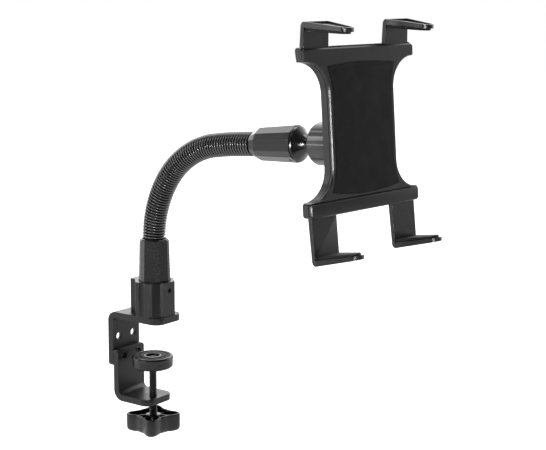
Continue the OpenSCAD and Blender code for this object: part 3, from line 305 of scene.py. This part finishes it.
def soft_finish(name, tone, rough, grain, bump, height, sheen):
    """Soft rubber: fine leathery cells over slow cloudy tones."""
    n = Nodes(name)
    clouds = n.noise(48.0, detail=5.0, roughness=0.62)
    colour = n.ramp(clouds, [(0.28, grey(tone * 0.78)), (0.5, grey(tone)), (0.75, grey(tone * 1.3))])
    dust = n.spread(n.noise(1300.0, detail=2.0, roughness=0.7), low=0.0, high=0.5, start=0.56, end=0.74)
    colour = n.mix(dust, colour, grey(tone * 1.9))
    n.link(colour, n.shader.inputs["Base Color"])
    smudge = n.noise(90.0, detail=4.0)
    roughness = n.spread(smudge, low=rough - SOFT_SWING, high=rough + SOFT_SWING)
    n.link(roughness, n.shader.inputs["Roughness"])
    n.shader.inputs["Sheen Weight"].default_value = sheen
    n.shader.inputs["Sheen Roughness"].default_value = 0.45
    n.shader.inputs["Specular IOR Level"].default_value = 0.22
    cells = n.math("MULTIPLY", n.cells(grain), 0.6)
    fine = n.noise(grain * 2.1, detail=2.0, roughness=0.6)
    n.bump(n.math("ADD", cells, fine), bump, height)
    return n.material


# Finishes by material slot: tone, roughness, then the scales and strengths of their layers
FINISHES = {
    "powder_coat": finish("powder_coat_paint", 0.008, 0.37, cloud=28.0, depth=0.16, grain=2300.0, bump=0.5,
                          height=0.00010, wear=(3.2, 0.0005), specular=0.45),
    "blackened_steel": finish("black_oxide_steel", 0.03, 0.30, cloud=120.0, depth=0.3, grain=3000.0,
                              bump=0.12, wear=(4.0, 0.0002), metallic=0.65, scratches=0.14),
    "moulded_plastic": finish("moulded_black_plastic", 0.007, 0.31, cloud=40.0, depth=0.12, grain=2800.0,
                              bump=0.08, rough_swing=0.03, wear=(2.4, 0.0003)),
    "satin_plastic": finish("satin_black_plastic", 0.006, 0.27, cloud=55.0, depth=0.12, grain=3200.0,
                            bump=0.06, rough_swing=0.03),
    "glossy_plastic": finish("semi_gloss_plastic", 0.006, 0.19, cloud=60.0, depth=0.16, grain=1500.0,
                             bump=0.07, height=0.00005, wear=(2.5, 0.0003), scratches=0.1),
    "glossy_metal": finish("gloss_black_metal", 0.005, 0.19, cloud=70.0, depth=0.2, grain=1800.0, bump=0.05,
                           coat=0.2, coat_rough=0.25, scratches=0.12),
    "dark_core": finish("matte_inner_core", 0.004, 0.8, cloud=60.0, depth=0.2, grain=3000.0, bump=0.2,
                        specular=0.2),
    "wound_cover": finish("wound_black_cover", 0.11, 0.20, cloud=70.0, depth=0.18, grain=2600.0, bump=0.04,
                          rough_swing=0.03, metallic=0.9, scratches=0.06),
    "shell_plastic": finish("fine_grained_shell", 0.007, 0.30, cloud=42.0, depth=0.12, grain=3400.0,
                            bump=0.10, rough_swing=0.03, height=0.00005, wear=(1.9, 0.0003)),
    "leg_plastic": finish("fine_grained_leg", 0.008, 0.29, cloud=50.0, depth=0.12, grain=3400.0, bump=0.10,
                          rough_swing=0.03, height=0.00005, wear=(2.0, 0.0003)),
    "soft_pad": soft_finish("soft_front_pad", 0.0035, 0.78, grain=1500.0, bump=0.30, height=0.00009,
                            sheen=0.03),
    "soft_rubber": soft_finish("soft_black_rubber", 0.009, 0.66, grain=1700.0, bump=0.30, height=0.00008,
                               sheen=0.12),
    "bright_steel": finish("zinc_plated_steel", 0.46, 0.27, cloud=160.0, depth=0.14, grain=2200.0, bump=0.08,
                           metallic=1.0, scratches=0.2),
}

# The hexagonal upper ferrule and the ball nut are polished more than the other mouldings
POLISHED_NODES = ("upper_ferrule", "ball_nut")
POLISHED = finish("polished_moulding", 0.020, 0.20, cloud=60.0, depth=0.12, grain=2600.0, bump=0.04,
                  rough_swing=0.03, coat=0.35, coat_rough=0.12)


def paint_cad():
    """Gives each carried-over node the finish of its slot in the record."""
    slots = {name: o.material_slots[0].material.name.split(".")[0] for name, o in nodes.items()}
    for name, o in nodes.items():
        material = POLISHED if name in POLISHED_NODES else FINISHES[slots[name]]
        for holder in o.material_slots:
            holder.material = material


paint_cad()

# Sizes in millimetres and turns in degrees
ARM_X = 3.0
PAD_GAP = 30.2
PAD_D = 34.4
PAD_RIM = 2.4
PAD_RECESS_D = 12.0
SCREW_D = 6.35
SCREW_TIP_D = 4.4
SCREW_SHOULDER = 37.65
TIP_END = 31.15
THREAD_PITCH = 1.27
KNOB_BOTTOM = 94.4
KNOB_H = 14.6
KNOB_SPAN = 44.6
KNOB_SIDE = 29.6
KNOB_WALL = 1.7
KNOB_HUB_D = 12.5
KNOB_TURN = 36.0
KNOB_FLOOR = 3.0
NUT_SEAT = 2.6
NUT_TO_SCREW = 1.75
KNOB_NUT_AF = SCREW_D * NUT_TO_SCREW

FERRULE_TOP = 68.4
COVER_D = 19.2
WIRE_D = 1.7
COIL_PITCH = 2.5
BENDS = ((88.65, 34.05), (71.6, 47.8), (325.0, 4.6))
NECK_TAIL = 13.8
JOINT_LOW = 24.0
JOINT_PAST_BEND = 8.0
CORE_INSERT = 17.0

UPPER_FERRULE_L = 39.8
STUD_L = 24.3

HOLDER_YAW = -9.0
HOLDER_PITCH = 3.1
HOLDER_ROLL = 1.3
FACE_N = 38.1
BODY_D = 8.4
TOP_H = 70.9
BODY_LOW = 35.8
BAR_H = 10.2
END_W = 58.2
END_H = 10.0
WAIST_W = 34.6
FLARE_TOP = 22.6
FLARE_LOW = 22.0
END_CORNER_R = 2.5
PAD_SUNK = 1.4
PAD_INSET = 2.9
PAD_TOP_H = 57.2
PAD_LOW_H = 30.6
CREST = 2.2
LEG_W = 25.0
LEG_OFFSET = 42.8
STEM_T = 3.8
STEM_INSET = 1.7
STEM_LEAN = 1.0
UPPER_LEG_H = 17.2
LOWER_LEG_H = 33.2
FOOT_REACH = 30.0
FOOT_T = 3.6
FOOT_SLOPE = 9.3
FOOT_TIP_W = 6.5
GRIP_T = 2.2
GRIP_SHORT = 2.5
GRIP_EDGE = 0.8
SOFT_GAP = 0.3
RUN_GAP = 0.05
BACK_N = FACE_N - BODY_D
BAR_LOW = BODY_LOW + BAR_H
STEM_BACK_N = BACK_N + STEM_INSET
STEM_FRONT_N = STEM_BACK_N + STEM_T
FOOT_TIP_N = FACE_N + FOOT_REACH
COVER_R = COVER_D / 2
WIRE_R = WIRE_D / 2


# Frames
class Neck:
    """The gooseneck's centre line: three arcs and a straight end in the plane y = 0."""

    def __init__(self):
        self.lengths = [r * math.radians(t) for r, t in BENDS]
        self.total = sum(self.lengths) + NECK_TAIL
        self.starts = []
        point, heading = Vector((ARM_X, 0.0, FERRULE_TOP)), 90.0
        for r, t in BENDS:
            self.starts.append((point.copy(), heading, r))
            point = point + self.step(r, heading, heading - t)
            heading -= t
        self.last = (point, heading)

    @staticmethod
    def step(r, a0, a1):
        """The way along an arc of radius r while the heading turns from a0 to a1."""
        return r * Vector((deg_sin(a0) - deg_sin(a1), 0.0, deg_cos(a1) - deg_cos(a0)))

    def at(self, s):
        """Point and heading at a distance along the neck."""
        if s < 0:
            return Vector((ARM_X, 0.0, FERRULE_TOP + s)), 90.0
        for (point, heading, r), (_, t), length in zip(self.starts, BENDS, self.lengths):
            if s < length:
                now = heading - t * s / length
                return point + self.step(r, heading, now), now
            s -= length
        point, heading = self.last
        return point + s * Vector((deg_cos(heading), 0.0, deg_sin(heading))), heading


NECK = Neck()
ARM_LIFT = NECK.last[1]
ARM_DIR = Vector((deg_cos(ARM_LIFT), 0.0, deg_sin(ARM_LIFT)))
FERRULE_START = NECK.at(NECK.total)[0]
BALL_CENTRE = FERRULE_START + (UPPER_FERRULE_L + STUD_L) * ARM_DIR
JOINT_MID = NECK.lengths[0] + NECK.lengths[1] / 2
JOINT_HIGH = NECK.lengths[0] + NECK.lengths[1] + JOINT_PAST_BEND


def turn(axis, angle):
    return Matrix.Rotation(math.radians(angle), 4, axis)


# The holder's frame: x out of its face from the ball's centre, z up along it
HOLDER_TURN = turn("Z", HOLDER_YAW) @ turn("Y", -HOLDER_PITCH) @ turn("X", HOLDER_ROLL)
HOLDER = Matrix.Translation(BALL_CENTRE) @ HOLDER_TURN


# Mesh building
def make_piece(name, points, faces, body, slot, replaces, place=Matrix.Identity(4), sharp=38.0):
    """Makes a smooth piece from points in millimetres, with the edges over an angle kept sharp."""
    mesh = bpy.data.meshes.new(name)
    mesh.from_pydata([place @ Vector(p) for p in points], [], faces)
    for v in mesh.vertices:
        v.co *= MM
    mesh.validate()
    bm = bmesh.new()
    bm.from_mesh(mesh)
    bmesh.ops.recalc_face_normals(bm, faces=bm.faces)
    limit = math.radians(sharp)
    for e in bm.edges:
        if len(e.link_faces) == 2 and e.calc_face_angle(0.0) > limit:
            e.smooth = False
    for f in bm.faces:
        f.smooth = True
    bm.to_mesh(mesh)
    bm.free()
    mesh.materials.append(FINISHES[slot])
    o = bpy.data.objects.new(name, mesh)
    scene.collection.objects.link(o)
    # A piece that spans a joint rides on no single body
    if body:
        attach(o, body)
    if replaces:
        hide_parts(*replaces)
    return o


def round_edges(o, width, segments, angle):
    bevel = o.modifiers.new("bevel", "BEVEL")
    bevel.width = width * MM
    bevel.segments = segments
    bevel.limit_method = "ANGLE"
    bevel.angle_limit = math.radians(angle)
    bevel.harden_normals = True
    bevel.miter_outer = "MITER_ARC"


def ring_faces(rings, sides, first_cap=True, last_cap=True, offset=0, loop=False):
    """Quads between rings of points, with n-gon caps; a loop joins the last ring to the first."""
    faces = []
    count = rings if loop else rings - 1
    for i in range(count):
        a, b = i * sides, ((i + 1) % rings) * sides
        for k in range(sides):
            j = (k + 1) % sides
            faces.append((offset + a + k, offset + a + j, offset + b + j, offset + b + k))
    if not loop and first_cap:
        faces.append(tuple(offset + k for k in reversed(range(sides))))
    if not loop and last_cap:
        faces.append(tuple(offset + (rings - 1) * sides + k for k in range(sides)))
    return faces


def turned_points(radii, z):
    """One ring about z, with a radius for each of its points."""
    return [(r * deg_cos(360.0 * k / len(radii)), r * deg_sin(360.0 * k / len(radii)), z)
            for k, r in enumerate(radii)]


def arc(cx, cy, r, a0, a1, n):
    return [(cx + r * deg_cos(a0 + (a1 - a0) * i / n), cy + r * deg_sin(a0 + (a1 - a0) * i / n))
            for i in range(n + 1)]


# Clamp screw with its thread
THREAD_DEPTH = 0.42
THREAD_CREST = 0.3
THREAD_FLANK = 0.55
THREAD_FADE = 1.2
FADE_DEPTH = 0.5


def thread_radius(z, share):
    """The thread's radius at a height and a share of the turn, before it fades out at its ends."""
    phase = (z / THREAD_PITCH - share) % 1.0
    wave = (abs(2 * phase - 1) - THREAD_CREST) / THREAD_FLANK
    return SCREW_D / 2 - THREAD_DEPTH * min(max(wave, 0.0), 1.0)


def clamp_screw():
    sides, per_turn = 24, 8
    low, high = -KNOB_BOTTOM + 0.4, -SCREW_SHOULDER
    steps = int(round((high - low) / THREAD_PITCH * per_turn))
    points = []
    for i in range(steps + 1):
        z = low + (high - low) * i / steps
        ends = min(1.0, (z - low) / THREAD_FADE, (high - z) / THREAD_FADE)
        fade = FADE_DEPTH * (1 - max(ends, 0.0))
        points += turned_points([thread_radius(z, k / sides) - fade for k in range(sides)], z)
    tip_r = SCREW_TIP_D / 2
    tip = ((tip_r, high + 0.02), (tip_r, -TIP_END - 0.35), (tip_r - 0.4, -TIP_END))
    for r, z in tip:
        points += turned_points([r] * sides, z)
    make_piece("threaded_screw", points, ring_faces(steps + 1 + len(tip), sides), "screw", "blackened_steel",
               ("clamp_screw",), sharp=60.0)


clamp_screw()


# Knob: four lobes and a hollow upper side with a hub and webs
WEB_HALF = 0.7
WEB_DRAFT = 0.12
WEB_COUNT = 8


def knob_radius(a, inset):
    """The distance to the four-lobed side at an angle, drawn in by an inset."""
    return KNOB_SIDE / 2 + (KNOB_SPAN - KNOB_SIDE) / 2 * deg_cos(2 * a) ** 4 - inset


def hexagon_radius(a, across):
    """The distance to a hexagon's side at an angle, from its size across the flats."""
    return across / 2 / deg_cos(((a + 30) % 60) - 30)


def knob_body(place):
    sides = 144
    rim, bore, hub = KNOB_H, SCREW_D / 2 + RUN_GAP, KNOB_HUB_D / 2
    wall, floor_z = KNOB_WALL, KNOB_FLOOR
    angles = [360.0 * k / sides for k in range(sides)]
    seat = [hexagon_radius(a, KNOB_NUT_AF + 0.2) for a in angles]
    outside = ((4.2, 0.0), (2.4, 0.12), (1.3, 0.55), (0.5, 1.4), (0.1, 2.6), (0.0, 4.2), (0.0, rim - 0.9),
               (0.1, rim - 0.35), (0.4, rim - 0.05), (0.8, rim))
    inside = ((wall - 0.35, rim - 0.02), (wall - 0.08, rim - 0.3), (wall, rim - 0.8),
              (wall + 0.1, floor_z + 1.4), (wall + 0.5, floor_z + 0.5), (wall + 1.4, floor_z))
    middle = ((hub + 0.6, floor_z), (hub + 0.1, floor_z + 0.4), (hub, floor_z + 1.0), (hub, rim - 1.5),
              (hub - 0.15, rim - 1.15), (hub - 0.5, rim - 1.0), (bore + 0.4, rim - 1.0), (bore, rim - 1.4))
    rings = [([bore] * sides, NUT_SEAT), (seat, NUT_SEAT), (seat, 0.3), ([r + 0.3 for r in seat], 0.0)]
    rings += [([knob_radius(a, inset) for a in angles], z) for inset, z in outside + inside]
    rings += [([r] * sides, z) for r, z in middle]
    points = [p for radii, z in rings for p in turned_points(radii, z)]
    make_piece("four_lobed_knob", points, ring_faces(len(rings), sides, loop=True), "screw", "glossy_plastic",
               ("clamp_knob",), place)


def knob_webs(place):
    start, top, low = KNOB_HUB_D / 2 - 0.6, KNOB_H - 2.2, KNOB_FLOOR - 0.4
    foot = WEB_HALF + WEB_DRAFT
    points, faces = [], []
    for i in range(WEB_COUNT):
        a = 360.0 / WEB_COUNT * i
        reach = (KNOB_SPAN if i % 2 == 0 else KNOB_SIDE) / 2 - KNOB_WALL + 0.1
        base = len(points)
        for x, high in ((start, top + 0.9), ((start + reach) / 2, top), (reach, top + 0.2)):
            for y, z in ((-foot, low), (foot, low), (WEB_HALF, high), (-WEB_HALF, high)):
                points.append((x * deg_cos(a) - y * deg_sin(a), x * deg_sin(a) + y * deg_cos(a), z))
        faces += ring_faces(3, 4, offset=base)
    webs = make_piece("knob_webs", points, faces, "screw", "glossy_plastic", (), place)
    round_edges(webs, 0.3, 2, 30.0)


KNOB_PLACE = Matrix.Translation((0, 0, -KNOB_BOTTOM)) @ turn("Z", KNOB_TURN)
knob_body(KNOB_PLACE)
knob_webs(KNOB_PLACE)


# Rubber face of the clamp's pad: a ring with one groove
FACE_PROUD = 0.25
FACE_SUNK = 1.45
GROOVE_IN = 2.9


def pad_face():
    sides = 96
    outer, inner = PAD_D / 2 - PAD_RIM - 0.2, PAD_RECESS_D / 2 + 1.4
    high, low, groove = FACE_PROUD, -FACE_SUNK, outer - GROOVE_IN
    profile = ((outer, low), (outer, high - 0.45), (outer - 0.15, high - 0.12), (outer - 0.5, high),
               (groove + 0.7, high), (groove + 0.5, high - 0.15), (groove + 0.4, high - 0.5),
               (groove - 0.4, high - 0.5), (groove - 0.5, high - 0.15), (groove - 0.7, high),
               (inner + 0.5, high), (inner + 0.15, high - 0.12), (inner, high - 0.45), (inner, low))
    points = [p for r, z in profile for p in turned_points([r] * sides, z)]
    make_piece("pad_rubber_face", points, ring_faces(len(profile), sides, loop=True), "pad", "soft_rubber",
               ("pad_grip",), Matrix.Translation((0, 0, -PAD_GAP)))


pad_face()


# Gooseneck: a wound wire over a smooth core, in three lengths, each around one hinge
BEND_REACH = 15.0
CORE_STEP = 1.25
WIRE_SWELL = 1.02
Y_AXIS = Vector((0.0, 1.0, 0.0))


def neck_axes(s):
    """The neck's centre at a distance along it, its direction there, and the one square to it."""
    point, heading = NECK.at(s)
    along = Vector((deg_cos(heading), 0.0, deg_sin(heading)))
    side = Vector((-deg_sin(heading), 0.0, deg_cos(heading)))
    return point, along, side


def winding(name, s0, s1, joint, replaces):
    """One unbroken round wire wound along the neck."""
    sides, per_turn = 10, 26
    steps = int(round((s1 - s0) / COIL_PITCH * per_turn))
    points = []
    for i in range(steps + 1):
        s = s0 + (s1 - s0) * i / steps
        point, along, side = neck_axes(s)
        a = 360.0 * s / COIL_PITCH
        out = side * deg_cos(a) + Y_AXIS * deg_sin(a)
        centre = point + (COVER_R - WIRE_R) * out
        for k in range(sides):
            e = 360.0 * (k + 0.5) / sides
            points.append(centre + WIRE_R * WIRE_SWELL * (deg_cos(e) * out + deg_sin(e) * along))
    o = make_piece(name, points, ring_faces(steps + 1, sides), None, "wound_cover", replaces, sharp=60.0)
    bend(o, joint)


def core(name, s0, s1, joint, replaces):
    """The smooth core inside the wound wire."""
    sides = 48
    steps = int(round((s1 - s0) / CORE_STEP))
    radius = COVER_R - 2 * WIRE_R + 0.05
    points = []
    for i in range(steps + 1):
        point, _, side = neck_axes(s0 + (s1 - s0) * i / steps)
        for k in range(sides):
            a = 360.0 * k / sides
            points.append(point + radius * (deg_cos(a) * side - deg_sin(a) * Y_AXIS))
    o = make_piece(name, points, ring_faces(steps + 1, sides), None, "dark_core", replaces)
    bend(o, joint)


def bend(o, joint):
    """Bakes the piece's placement into its mesh; the neck's points a hinge's reach before and after the joint
    are worked out but not used.
    """
    start, end = NECK.at(joint - BEND_REACH)[0] * MM, NECK.at(joint + BEND_REACH)[0] * MM
    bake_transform(o)


def gooseneck():
    cut_low, cut_high = (JOINT_LOW + JOINT_MID) / 2, (JOINT_MID + JOINT_HIGH) / 2
    first, last = WIRE_R + SOFT_GAP, NECK.total - WIRE_R - SOFT_GAP
    winding("neck_winding_low", first, cut_low, JOINT_LOW, ("neck_coil_base", "neck_coil_low"))
    winding("neck_winding_mid", cut_low, cut_high, JOINT_MID, ("neck_coil_mid",))
    winding("neck_winding_top", cut_high, last, JOINT_HIGH, ("neck_coil_top",))
    core("neck_inner_low", -CORE_INSERT, cut_low, JOINT_LOW, ("neck_core_base", "neck_core_low"))
    core("neck_inner_mid", cut_low, cut_high, JOINT_MID, ("neck_core_mid",))
    core("neck_inner_top", cut_high, NECK.total + CORE_INSERT, JOINT_HIGH, ("neck_core_top",))


gooseneck()


# Holder's front pad, sunk in the front plate
PAD_FLARE = 4.5
PAD_LOW_CREST = 3.2
PAD_LOW_FLARE_H = 22.0
PAD_TOP_FLARE_H = 20.0
PAD_PROUD = 0.4


def pad_outline(inset):
    """The pad's outline: a waist that flares to a crowned top and a crowned foot."""
    w, top, low = WAIST_W - PAD_INSET - inset, PAD_TOP_H - inset, -PAD_LOW_H + inset
    wide = w + PAD_FLARE
    steps = 14
    shares = [i / steps for i in range(steps + 1)]
    right = [(wide * u, low - PAD_LOW_CREST * (1 - u ** 2)) for u in shares]
    right += [(w + PAD_FLARE * (1 - u) ** 2, low + PAD_LOW_FLARE_H * u) for u in shares[1:]]
    right += [(w + PAD_FLARE * u ** 2, top - PAD_TOP_FLARE_H * (1 - u)) for u in shares[:-1]]
    right += [(wide * u, top + CREST * (1 - u ** 2)) for u in reversed(shares[1:])]
    left = [(-x, y) for x, y in reversed(right) if x > 0.001]
    return [(0.0, low - PAD_LOW_CREST)] + right[1:] + [(0.0, top + CREST)] + left


def stacked_rings(outline, levels):
    """Points of one outline at several distances n out of the holder, drawn in by an inset at each."""
    rings = [[(n, y, z) for y, z in outline(inset)] for n, inset in levels]
    return [p for ring in rings for p in ring], len(rings[0])


def front_pad():
    face = FACE_N + PAD_PROUD
    levels = ((FACE_N - PAD_SUNK, SOFT_GAP), (face - 0.5, SOFT_GAP), (face - 0.22, SOFT_GAP + 0.12),
              (face - 0.06, SOFT_GAP + 0.45), (face, SOFT_GAP + 1.0))
    points, sides = stacked_rings(pad_outline, levels)
    make_piece("front_pad_cushion", points, ring_faces(len(levels), sides), "holder", "soft_pad",
               ("front_pad",), HOLDER)


front_pad()


# Front plates of the holder's body and of its jaw, with an eased front edge and the channel of the legs
TIP_T = 0.6
TIP_LAND = 0.5
JAW_GAP = 0.2
JAW_CORNER_R = 1.0
PLATE_T = 2.4
PLATE_DROP = 1.2
WALL = 2.0
ROOT_H = 5.0
ROOT_SIDE = 1.5
CHANNEL_DEPTH = 1.25
EASE_IN = 0.95
SPLIT_N = FACE_N - PLATE_T
CHANNEL_W = LEG_OFFSET + LEG_W / 2 + ROOT_SIDE + 0.1
CHANNEL_H = ROOT_H + 0.3
CHANNEL_TOP = TOP_H - WALL - ROOT_H - 0.2
CHANNEL_LOW = -BAR_LOW + WALL - 0.1
PLATE_LEVELS = ((SPLIT_N, 0.0), (FACE_N - EASE_IN, 0.0), (FACE_N - 0.85, 0.05), (FACE_N - 0.05, 0.80),
                (FACE_N, EASE_IN))


def body_outline(inset):
    """The body's outline: a waist between two arcs, square ends at the top and sharp tips at the foot."""
    low_r, top_r = FLARE_LOW + inset, FLARE_TOP + inset
    low_x, top_x = WAIST_W + FLARE_LOW, WAIST_W + FLARE_TOP
    low_y, top_y = -BODY_LOW + TIP_T + FLARE_LOW, TOP_H - END_H - FLARE_TOP
    ratio = (low_y + BODY_LOW - inset) / low_r
    rise = math.asin(min(ratio, 1.0))
    edge = END_W - inset
    reach = (top_x - edge) / top_r
    end = 180.0 - math.degrees(math.acos(reach)) if reach > 0 else 90.0
    corner = END_CORNER_R - inset
    tip = edge if ratio >= 1.0 else low_x - low_r * math.cos(rise) - TIP_LAND
    half = [(tip, -BODY_LOW + inset)]
    half += arc(low_x, low_y, low_r, 180.0 + math.degrees(rise), 180.0, 24)
    half += arc(top_x, top_y, top_r, 180.0, end, 24)
    half += arc(edge - corner, TOP_H - PLATE_DROP - inset - corner, corner, 0, 90, 8)
    return half + [(-x, y) for x, y in reversed(half)]


def jaw_outline(inset):
    r, w = END_CORNER_R - inset, END_W - inset
    low, high = -BAR_LOW + inset, -BODY_LOW - JAW_GAP - inset
    small = JAW_CORNER_R
    return (arc(w - r, low + r, r, -90, 0, 8) + arc(w - small, high - small, small, 0, 90, 8)
            + arc(-w + small, high - small, small, 90, 180, 8) + arc(-w + r, low + r, r, 180, 270, 8))


def cut_pocket(points, faces, start, sides, hole, depth_n):
    """Closes the flat face of the ring of points from start, leaving a pocket down to depth_n."""
    ring = points[start:start + sides]
    first, count = len(points), len(hole)
    points += [(ring[0][0], y, z) for y, z in hole] + [(depth_n, y, z) for y, z in hole]
    loops = [[Vector((y, z, 0.0)) for _, y, z in ring], [Vector((y, z, 0.0)) for y, z in hole]]
    where = list(range(start, start + sides)) + list(range(first, first + count))
    faces += [tuple(where[k] for k in triangle) for triangle in tessellate_polygon(loops)]
    for k in range(count):
        after = (k + 1) % count
        faces.append((first + k, first + after, first + count + after, first + count + k))
    faces.append(tuple(range(first + count, first + 2 * count)))


def channel_outline(low):
    """The channel in which the flanges at the legs' roots slide."""
    high = low + CHANNEL_H
    return [(-CHANNEL_W, low), (CHANNEL_W, low), (CHANNEL_W, high), (-CHANNEL_W, high)]


def front_plate():
    points, sides = stacked_rings(body_outline, PLATE_LEVELS)
    faces = ring_faces(len(PLATE_LEVELS), sides, first_cap=False, last_cap=False)
    front = len(points) - sides
    cut_pocket(points, faces, front, sides, pad_outline(0.0), FACE_N - PAD_SUNK - 0.05)
    cut_pocket(points, faces, 0, sides, channel_outline(CHANNEL_TOP), SPLIT_N + CHANNEL_DEPTH)
    make_piece("front_plate", points, faces, "holder", "shell_plastic", ("front_shell",), HOLDER, sharp=14.0)


def jaw_plate():
    points, sides = stacked_rings(jaw_outline, PLATE_LEVELS)
    faces = ring_faces(len(PLATE_LEVELS), sides, first_cap=False)
    cut_pocket(points, faces, 0, sides, channel_outline(CHANNEL_LOW), SPLIT_N + CHANNEL_DEPTH)
    make_piece("jaw_front_plate", points, faces, "jaw", "shell_plastic", ("jaw_front",), HOLDER, sharp=14.0)


front_plate()
jaw_plate()


# Rubber grips under the feet of the legs
GRIP_TIP_SHARE = 0.75
GRIP_LEVELS = ((0.0, 0.0), (0.72, 0.0), (0.93, 0.18), (1.0, 0.6))


def foot_plan(inset, tip):
    """The plan of a foot from its stem to a rounded tip."""
    w, t, neck, back = LEG_W / 2 - inset, FOOT_TIP_W - inset, FACE_N - 1, STEM_BACK_N - 2
    return [(back, -w), (neck, -w)] + arc(tip - t, 0, t, -70, 70, 12) + [(neck, w), (back, w)]


def grip(name, body, node, side, upper):
    """A rubber strip under a foot: it follows the foot's slope and thins out to the tip."""
    h = UPPER_LEG_H if upper else LOWER_LEG_H
    slope = math.tan(math.radians(FOOT_SLOPE))
    n0 = STEM_FRONT_N + STEM_LEAN + SOFT_GAP + 0.4
    n1 = FOOT_TIP_N - GRIP_SHORT
    tip_low = h - (FOOT_TIP_N - STEM_BACK_N) * slope - FOOT_T * 0.8
    base_low = h - FOOT_T - (STEM_FRONT_N - STEM_BACK_N) * slope
    run = FOOT_TIP_N - STEM_FRONT_N
    middle = (n0 + n1) / 2
    outline = [(max(x, n0), y) for x, y in foot_plan(GRIP_EDGE, n1)]
    outline = [p for i, p in enumerate(outline) if i == 0 or p != outline[i - 1]]

    def layer(x, y, drop, inset):
        size = math.hypot(x - middle, y)
        x, y = x - (x - middle) / size * inset, y - y / size * inset
        base = base_low + (tip_low - base_low) * (x - STEM_FRONT_N) / run
        thick = GRIP_T * (1 - (1 - GRIP_TIP_SHARE) * (x - n0) / (n1 - n0))
        return (x, y, base - thick * drop)

    points = [layer(x, y, drop, inset) for drop, inset in GRIP_LEVELS for x, y in outline]
    place = HOLDER @ Matrix.Translation((0, side * LEG_OFFSET, TOP_H if upper else -BAR_LOW))
    if not upper:
        place = place @ Matrix.Diagonal((1, 1, -1, 1))
    make_piece(name, points, ring_faces(len(GRIP_LEVELS), len(outline)), body, "soft_rubber", (node,), place)


for side, label in ((-1, "left"), (1, "right")):
    grip("grip_pad_top_" + label, "leg_top_" + label, "grip_top_" + label, side, True)
    grip("grip_pad_bottom_" + label, "leg_bottom_" + label, "grip_bottom_" + label, side, False)


# Two coil springs that pull the jaw in
SPRING_OFFSET = 10.0
SPRING_D = 3.2
SPRING_WIRE = 0.5
SPRING_PITCH = 2.2
SPRING_BACK = 2.4
SLIDER_TOP = 34.2
PIN_R = 1.3
PIN_BELOW = 3.0
POCKET_TOP = TOP_H - END_H - 1.8


def jaw_springs():
    foot = SLIDER_TOP + SOFT_GAP
    length = POCKET_TOP - PIN_BELOW - PIN_R - SOFT_GAP - foot
    per_turn, sides = 20, 8
    steps = int(round((length - SPRING_WIRE) / SPRING_PITCH * per_turn))
    wire_r, centre_n = SPRING_WIRE / 2, BACK_N + SPRING_BACK + SPRING_D / 2 + SOFT_GAP
    points, faces = [], []
    for offset in (-SPRING_OFFSET, SPRING_OFFSET):
        faces += ring_faces(steps + 1, sides, offset=len(points))
        for i in range(steps + 1):
            a = 360.0 * i / per_turn
            z = foot + wire_r + (length - SPRING_WIRE) * i / steps
            for k in range(sides):
                e = 360.0 * k / sides
                r = SPRING_D / 2 - wire_r + wire_r * deg_cos(e)
                points.append((centre_n + r * deg_cos(a), offset + r * deg_sin(a), z + wire_r * deg_sin(e)))
    make_piece("jaw_spring_coils", points, faces, "holder", "bright_steel", ("jaw_springs",), HOLDER,
               sharp=60.0)


jaw_springs()

# Rounded edges of carried-over nodes: width in millimetres, segments
LEGS = ("leg_top_left", "leg_top_right", "leg_bottom_left", "leg_bottom_right")
EDGES = (
    (("upper_bracket", "lower_bracket"), 0.45, 2),
    (("base_socket", "jaw_back") + LEGS, 0.4, 2),
    (("lower_ferrule",), 1.2, 4),
    (("upper_ferrule",), 0.9, 4),
    (("back_shell",), 0.5, 2),
    (("jaw_slider", "swivel_boss"), 0.3, 2),
    (("clamp_pad",), 0.2, 2),
)


def soften_edges(name, width, segments):
    """Rounds a carried-over node's edges with modifiers; its own mesh stays as packed."""
    weld = nodes[name].modifiers.new("weld", "WELD")
    weld.merge_threshold = 0.004 * MM
    round_edges(nodes[name], width, segments, 32.0)


for names, width, segments in EDGES:
    for name in names:
        soften_edges(name, width, segments)


# Pale floor, white to the camera
FLOOR_Z = -0.42
FLOOR_HALF = 14.0


def make_floor():
    mesh = bpy.data.meshes.new("floor")
    corners = ((-1, -1), (1, -1), (1, 1), (-1, 1))
    mesh.from_pydata([(FLOOR_HALF * x, FLOOR_HALF * y, FLOOR_Z) for x, y in corners], [], [(0, 1, 2, 3)])
    o = bpy.data.objects.new("floor", mesh)
    scene.collection.objects.link(o)
    n = Nodes("floor_paper")
    paper = n.ramp(n.noise(1.2, detail=2.0), [(0.3, grey(0.86)), (0.7, grey(0.90))])
    n.link(paper, n.shader.inputs["Base Color"])
    n.shader.inputs["Roughness"].default_value = 0.95
    n.shader.inputs["Specular IOR Level"].default_value = 0.1
    n.shader.inputs["Emission Color"].default_value = (1.0, 1.0, 1.0, 1.0)
    n.link(n.add("ShaderNodeLightPath").outputs["Is Camera Ray"], n.shader.inputs["Emission Strength"])
    mesh.materials.append(n.material)


make_floor()

# Brings the scene's transforms up to date
bpy.context.view_layer.update()
